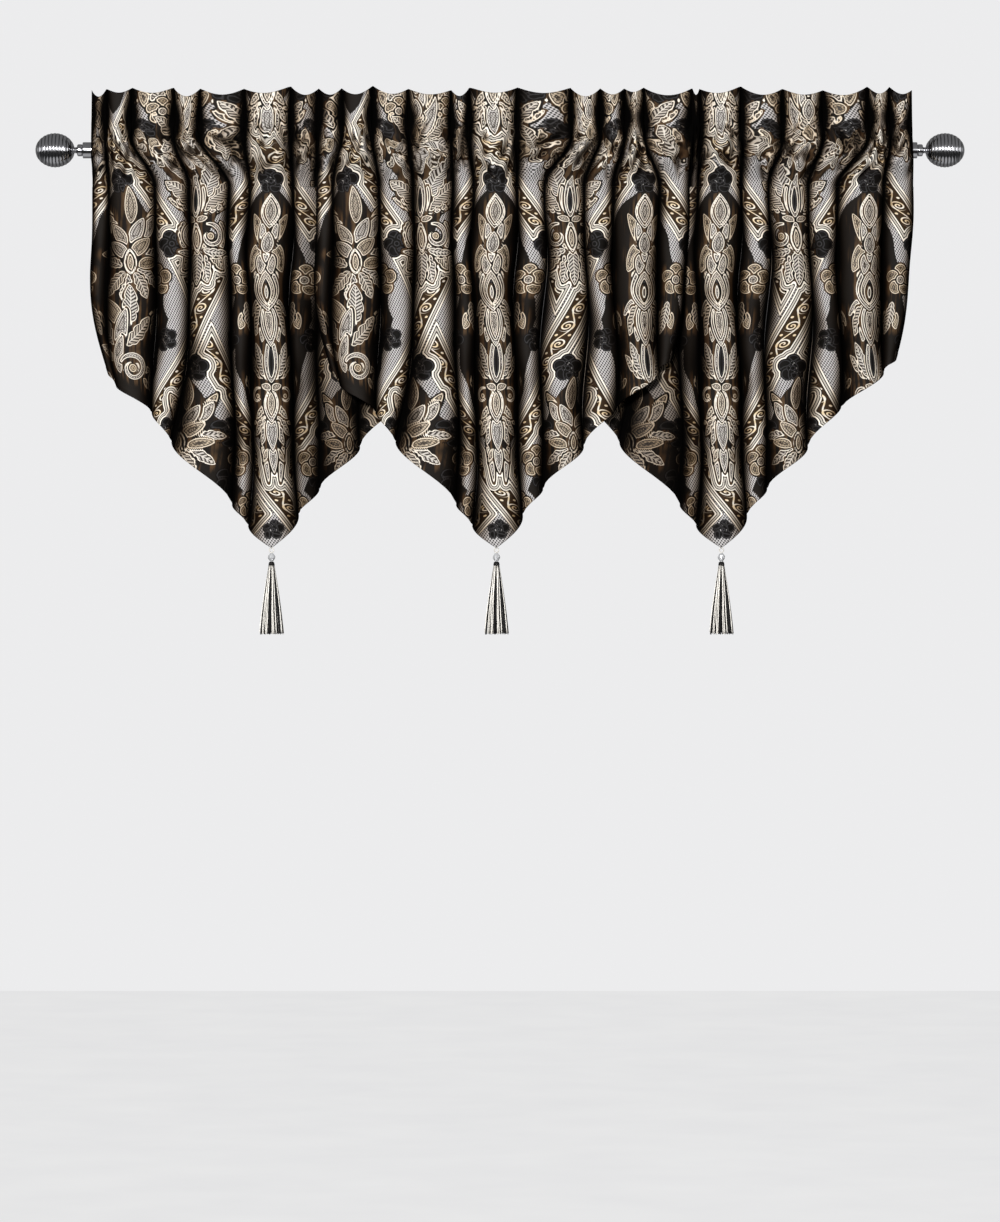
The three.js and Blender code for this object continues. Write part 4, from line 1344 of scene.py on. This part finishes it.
# Skirt: sizes of a strand, then how the strands flare, scatter and sway
SKIRT = Sizes(length=106.5, root_depth=2.5, radius=0.62, steps=14, sides=5, seed=21, flare=0.35,
              flare_turn=1.57, jitter=0.35, spread=(0.88, 1.05), sway=0.05, sway_turn=5.0,
              sway_start=6.3, uneven=3.5)
STRAND_SIDE = (0.31, 0.95, 0.05)  # a direction that no strand follows

# Rings of yarn: how many strands, and their distance from the middle at the head and at the foot.
YarnRing = namedtuple("YarnRing", "count root foot")
YARN_RINGS = [YarnRing(64, 4.1, 18.4), YarnRing(46, 3.0, 13.0), YarnRing(26, 1.8, 7.0)]
# Locks of one colour round the skirt: which ones of each five are black, and the share of strays
LOCKS = Sizes(count=33, period=5, black=(1, 3, 4), stray=0.14)


def tube(path, radius, sides):
    """Points of a tube along a path, ring by ring."""
    ahead = np.gradient(path, axis=0)
    ahead /= np.linalg.norm(ahead, axis=1, keepdims=True)
    right = np.cross(ahead, STRAND_SIDE)
    right /= np.linalg.norm(right, axis=1, keepdims=True)
    up = np.cross(right, ahead)
    angle = np.linspace(0, TURN, sides, endpoint=False)[None, :, None]
    ring = np.cos(angle) * right[:, None] + np.sin(angle) * up[:, None]
    return (path[:, None] + radius * ring).reshape(-1, 3)


def tube_faces(steps, sides, closed=False):
    """Faces of a tube that is joined to its own start, or has flat ends."""
    quads = grid_quads(steps, sides, wrap=True, flip=True)
    first = np.arange(sides)
    last = (steps - 1) * sides + first
    if closed:
        join = np.stack([first, np.roll(first, -1), np.roll(last, -1), last], 1)
        return [np.concatenate([quads, join])]
    return [quads, first[None, :], last[None, ::-1]]


def merge(parts):
    """Joins (points, faces) parts into one, with faces of each size in one block."""
    points, blocks, start = [], {}, 0
    for part_points, faces in parts:
        for block in faces:
            blocks.setdefault(block.shape[1], []).append(block + start)
        points.append(part_points)
        start += len(part_points)
    return np.concatenate(points), [np.concatenate(blocks[size]) for size in sorted(blocks)]


def cord_loop():
    """Two plies twisted round each other, in a ring."""
    turn = np.linspace(0, TURN, LOOP.steps, endpoint=False)
    middle = LOOP.diameter / 2 - 2 * LOOP.ply
    plies = []
    for start in (0, np.pi):
        out = middle + LOOP.ply * np.cos(LOOP.twist * turn + start)
        side = LOOP.ply * np.sin(LOOP.twist * turn + start)
        path = np.stack([out * np.sin(turn), side, out * np.cos(turn)], 1)
        faces = tube_faces(LOOP.steps, LOOP.sides, closed=True)
        plies.append((tube(path, LOOP.ply, LOOP.sides), faces))
    return merge(plies)


def bead_shape():
    """Cut bead: a small table at each end and two staggered rings of facets at its belt."""
    sides, radius = BEAD.sides, BEAD.diameter / 2
    side = np.arange(sides)
    points, faces = [], []
    for share, rise, stagger in BEAD_RINGS:
        angle = TURN * (side + stagger) / sides
        level = np.full(sides, rise * BEAD.height)
        points.append(np.stack([share * radius * np.cos(angle), share * radius * np.sin(angle), level], 1))
    for k, (low, high) in enumerate(zip(BEAD_RINGS, BEAD_RINGS[1:])):
        is_ahead = high[2] > low[2]
        ahead = side if is_ahead else (side + 1) % sides
        behind = (side - 1) % sides if is_ahead else side
        base, above = k * sides, (k + 1) * sides
        faces.append(np.stack([base + side, base + (side + 1) % sides, above + (behind + 1) % sides], 1))
        faces.append(np.stack([base + side, above + ahead, above + behind], 1))
    ends = [side[None, ::-1], (len(BEAD_RINGS) - 1) * sides + side[None]]
    return np.concatenate(points), [np.concatenate(faces), *ends]


def wrapped_head():
    """Head of a tassel, standing on its foot, with the coils of its wrapping."""
    share = np.linspace(0, 1, TASSEL_HEAD.coil_steps * TASSEL_HEAD.coils + 1)
    radius = np.interp(share, *np.array(HEAD_SHAPE).T) * TASSEL_HEAD.diameter / 2
    coil = 1 - np.abs(np.sin(np.pi * TASSEL_HEAD.coils * share))
    radius = np.pad(radius - TASSEL_HEAD.coil_depth * coil, 1)
    along = np.pad(share * TASSEL_HEAD.height, 1, mode="edge")
    points, faces = turned(along, radius, TASSEL_HEAD.segments)
    return points[:, [1, 2, 0]], faces


def tassel_strands():
    """Strands of one skirt, hung from the middle of the head's foot, as (is_black, path)."""
    random = np.random.default_rng(SKIRT.seed)
    is_black = random.uniform(0, 1, LOCKS.count) < LOCKS.stray
    is_black |= np.isin(np.arange(LOCKS.count) % LOCKS.period, LOCKS.black)
    down = np.linspace(0, 1, SKIRT.steps)
    flare = SKIRT.flare * np.sin(SKIRT.flare_turn * down) + (1 - SKIRT.flare) * down
    strands = []
    for ring in YARN_RINGS:
        for k in range(ring.count):
            angle = TURN * (k + random.uniform(-SKIRT.jitter, SKIRT.jitter)) / ring.count
            foot = ring.foot * random.uniform(*SKIRT.spread)
            out = lerp(ring.root, foot, flare)
            sway = SKIRT.sway * np.sin(SKIRT.sway_turn * down + random.uniform(0, SKIRT.sway_start)) * down
            length = SKIRT.length + SKIRT.root_depth - random.uniform(0, SKIRT.uneven)
            path = np.stack([out * np.cos(angle + sway), out * np.sin(angle + sway),
                             SKIRT.root_depth - length * down], 1)
            lock = int(LOCKS.count * (angle % TURN) / TURN) % LOCKS.count
            strands.append((is_black[lock], path))
    return strands


def make_tassel(panel, materials):
    x, y = panel.point + TIP_SHIFT.x, panel.base + TIP_SHIFT.y
    points, faces = cord_loop()
    points = points + (x, y, LOOP.top - LOOP.diameter / 2)
    loop = new_object(f"tassel_cord_{panel.name}", points, faces, [materials["cord"]])
    settle(loop, f"tassel_loop_{panel.name}")

    points, faces = bead_shape()
    points = points + (x, y, BEAD.top - BEAD.height)
    bead = new_object(f"tassel_crystal_{panel.name}", points, faces, [materials["bead"]], sharp=True)
    settle(bead, f"tassel_bead_{panel.name}")

    parts = {"ivory": [], "black": [wrapped_head()]}
    for is_black, path in tassel_strands():
        strand = tube(path, SKIRT.radius, SKIRT.sides), tube_faces(SKIRT.steps, SKIRT.sides)
        parts["black" if is_black else "ivory"].append(strand)
    for colour, pieces in parts.items():
        points, faces = merge(pieces)
        points = points + (x, y, TASSEL_HEAD.top - TASSEL_HEAD.height)
        skein = new_object(f"tassel_{colour}_yarn_{panel.name}", points, faces, [materials[colour]])
        settle(skein, f"tassel_{panel.name}")


# Materials of the hardware and the yarn

# Nickel: tones, haze and scratches; groove is the painted shade of the finials' grooves, which are also
# rougher
NICKEL = Sizes(dull=(0.60, 0.60, 0.62), bright=(0.70, 0.70, 0.71), groove=(0.12, 0.12, 0.125), rough=0.05,
               haze=(0.16, 3.0), haze_rough=0.08, scratch=(0.9, 2.0, (0.08, 1, 1)), scratch_rough=0.05,
               groove_edge=0.45, groove_soft=0.4, groove_rough=0.15, bump=0.05, height=0.0001)
YARN = Sizes(slant=1.3, ply=1.1, mottle=0.35, mottle_share=0.7, ply_share=0.35, bump=0.4, height=0.0003,
             rough=0.5, rough_loss=0.1)
CRYSTAL = Sizes(cloud=0.25, dark=(0.42, 0.43, 0.44), pale=(0.74, 0.74, 0.75), rough=0.01, rough_gain=0.05)


def polished_nickel(name, ribbed=False):
    """Nickel plate; in the grooves of the ribbed finials it is rougher, and painted shade darkens them."""
    graph = new_material(name)
    place = graph.place()
    haze = graph.noise(place, *NICKEL.haze)
    scratch = graph.noise(place, *NICKEL.scratch)
    rough = haze * NICKEL.haze_rough + scratch * NICKEL.scratch_rough + NICKEL.rough
    colour = graph.mix(haze, NICKEL.dull, NICKEL.bright)
    if ribbed:
        from_ball = abs(graph.split(place)[0]) - (FINIAL.start + FINIAL.collar_length + FINIAL.neck_length)
        turn = from_ball * (math.pi * FINIAL.ribs / FINIAL.ball_length)
        groove = abs(graph.math("SINE", turn)).below(NICKEL.groove_edge, NICKEL.groove_soft)
        groove = groove * from_ball.above(0.0)
        # painted shade: the grooves' colour is darkened
        colour = graph.mix(groove, colour, NICKEL.groove)
        rough = rough + groove * NICKEL.groove_rough
    bump = graph.bump(scratch, NICKEL.bump, NICKEL.height)
    return graph.finish(Base_Color=colour, Metallic=1.0, Roughness=rough, Normal=bump)


def yarn(name, dark, pale, sheen, gloss=0.5):
    """Twisted yarn: slanted plies, paler where they catch the light."""
    graph = new_material(name)
    place = graph.place()
    x, _, z = graph.split(place)
    ply = (x * YARN.slant + z).wave(YARN.ply)
    tone = graph.noise(place, YARN.mottle) * YARN.mottle_share + ply * YARN.ply_share
    return graph.finish(
        Base_Color=graph.mix(tone, dark, pale),
        Sheen_Weight=sheen,
        Specular_IOR_Level=gloss,
        Roughness=YARN.rough - ply * YARN.rough_loss,
        Normal=graph.bump(ply, YARN.bump, YARN.height),
    )


def clear_bead():
    graph = new_material("clear_bead")
    cloud = graph.noise(graph.place(), CRYSTAL.cloud)
    return graph.finish(
        Base_Color=graph.mix(cloud, CRYSTAL.dark, CRYSTAL.pale),
        Roughness=cloud * CRYSTAL.rough_gain + CRYSTAL.rough,
        Transmission_Weight=0.55,
        IOR=1.85,
    )


# The valance

columns = fold_columns(PANEL_STEP)
art = panel_art(columns)
cloth = [damask_face(), damask_reverse()]
thread = yarn("sewing_thread", (0.008, 0.008, 0.008), (0.03, 0.028, 0.026), 0.1)
tassel_materials = {
    "ivory": yarn("ivory_yarn", (0.66, 0.62, 0.55), (0.95, 0.92, 0.86), 0.25),
    "black": yarn("black_yarn", (0.003, 0.003, 0.003), (0.011, 0.010, 0.010), 0.02, 0.15),
    "cord": yarn("loop_cord", (0.30, 0.28, 0.25), (0.72, 0.69, 0.63), 0.2),
    "bead": clear_bead(),
}

heading, heading_back = make_heading(fold_columns(HEADING_STEP), cloth)
panels = [make_panel(panel, columns, art, cloth) for panel in PANELS]
stitches = make_stitches([heading_back[:, STITCH_ROW], heading_back[:, SEAM_ROW]], thread)
make_rod(polished_nickel("polished_nickel"))
make_finials(polished_nickel("ribbed_nickel", ribbed=True))
for panel in PANELS:
    make_tassel(panel, tassel_materials)

# Flat sizes of the cuts: a panel is a rectangle less the two sides that slope to its point
strip = np.diff(columns.flat)
drops = PANEL_TOP - columns.hem
panel_area = float(np.sum(strip * (drops[:-1] + drops[1:]) / 2)) * MM * MM


# Stage: camera level with the middle of the photograph, pale floor and soft light

CAMERA = Sizes(distance=7.0, height=-0.728, frame_height=1.931, sensor=36.0)
FLOOR = Sizes(height=-2.1, half=9.0, grain=(0.004, 3.0), dark=(0.018, 0.018, 0.018),
              light=(0.022, 0.022, 0.022), glow_dark=(0.76, 0.76, 0.77),
              glow_light=(0.82, 0.82, 0.82), glow=0.98)

# Sky that polished metal reflects, by height of the direction, from -1 straight down to 1 straight up
SKY = [(-1.0, 0.46), (-0.82, 0.40), (-0.74, 0.03), (-0.12, 0.02), (-0.05, 1.0), (0.2, 1.0),
       (0.28, 0.20), (1.0, 0.17)]
SKY_BLUE, PLAIN_BLUE = 1.02, 1.01  # blue part of the tones, in the reflected sky and elsewhere
SKY_BEHIND = Sizes(tone=0.16, start=0.1, end=0.5)
AMBIENT = 0.12
BACKDROP = 0.84

# Soft lights: where they stand and aim, their width and height in metres and their power
Lamp = namedtuple("Lamp", "name place aim width height power")
LAMPS = [
    Lamp("key", (-1.3, -6.0, 0.9), (0, 0, -0.3), 1.2, 0.8, 740),
    Lamp("fill", (3.6, -4.0, 0.2), (0, 0, -0.3), 1.6, 1.6, 20),
    Lamp("back", (1.6, 4.0, 1.4), (0, 0, -0.3), 1.4, 1.4, 130),
]


def make_camera():
    data = bpy.data.cameras.new("camera")
    data.sensor_width = CAMERA.sensor
    data.lens = CAMERA.sensor * CAMERA.distance / CAMERA.frame_height
    camera = bpy.data.objects.new("camera", data)
    camera.location = (0, -CAMERA.distance, CAMERA.height)
    camera.rotation_euler = (math.pi / 2, 0, 0)
    bpy.context.scene.collection.objects.link(camera)
    bpy.context.scene.camera = camera


def make_lamps():
    """Area lights, of which only those in front show in the metal."""
    for lamp in LAMPS:
        data = bpy.data.lights.new(lamp.name, "AREA")
        data.shape = "RECTANGLE"
        data.size = lamp.width
        data.size_y = lamp.height
        data.energy = lamp.power
        light = bpy.data.objects.new(lamp.name, data)
        light.location = lamp.place
        ahead = Vector(lamp.aim) - Vector(lamp.place)
        light.rotation_euler = ahead.to_track_quat("-Z", "Y").to_euler()
        light.visible_glossy = lamp.place[1] < 0
        bpy.context.scene.collection.objects.link(light)


def make_sky():
    graph = Graph(bpy.data.worlds.new("sky"))
    _, y, z = graph.split(graph.node("TexCoord", (), "Generated"))
    sky = graph.node("ValToRGB", (z * 0.5 + 0.5,))
    elements = sky.socket.node.color_ramp.elements
    while len(elements) < len(SKY):
        elements.new(0.5)
    for element, (height, tone) in zip(elements, SKY):
        element.position = (height + 1) / 2
        element.color = (tone, tone, SKY_BLUE * tone, 1)
    grey = [(tone, tone, PLAIN_BLUE * tone) for tone in (SKY_BEHIND.tone, AMBIENT, BACKDROP)]
    behind = graph.node("MapRange", (y, SKY_BEHIND.start, SKY_BEHIND.end))
    reflected = graph.mix(behind, sky, grey[0])
    lit = graph.mix(graph.node("LightPath", (), "Is Glossy Ray"), grey[1], reflected)
    seen = graph.mix(graph.node("LightPath", (), "Is Camera Ray"), lit, grey[2])
    graph.put(graph.tree.nodes["Background"].inputs["Color"], seen)
    bpy.context.scene.world = graph.owner


def make_floor():
    graph = new_material("pale_floor")
    tone = graph.noise(graph.place(), *FLOOR.grain)
    pale = graph.finish(
        Base_Color=graph.mix(tone, FLOOR.dark, FLOOR.light),
        Roughness=0.9,
        Specular_IOR_Level=0.0,
        Emission_Color=graph.mix(tone, FLOOR.glow_dark, FLOOR.glow_light),
        Emission_Strength=FLOOR.glow,
    )
    half, level = FLOOR.half / MM, FLOOR.height / MM
    corners = np.array([(x * half, y * half, level) for x, y in ((-1, -1), (1, -1), (1, 1), (-1, 1))])
    floor = new_object("floor", corners, [np.array([[0, 1, 2, 3]])], [pale])
    floor.visible_diffuse = False
    floor.visible_glossy = False


make_camera()
make_lamps()
make_sky()
make_floor()
bpy.context.scene.view_settings.view_transform = "Standard"
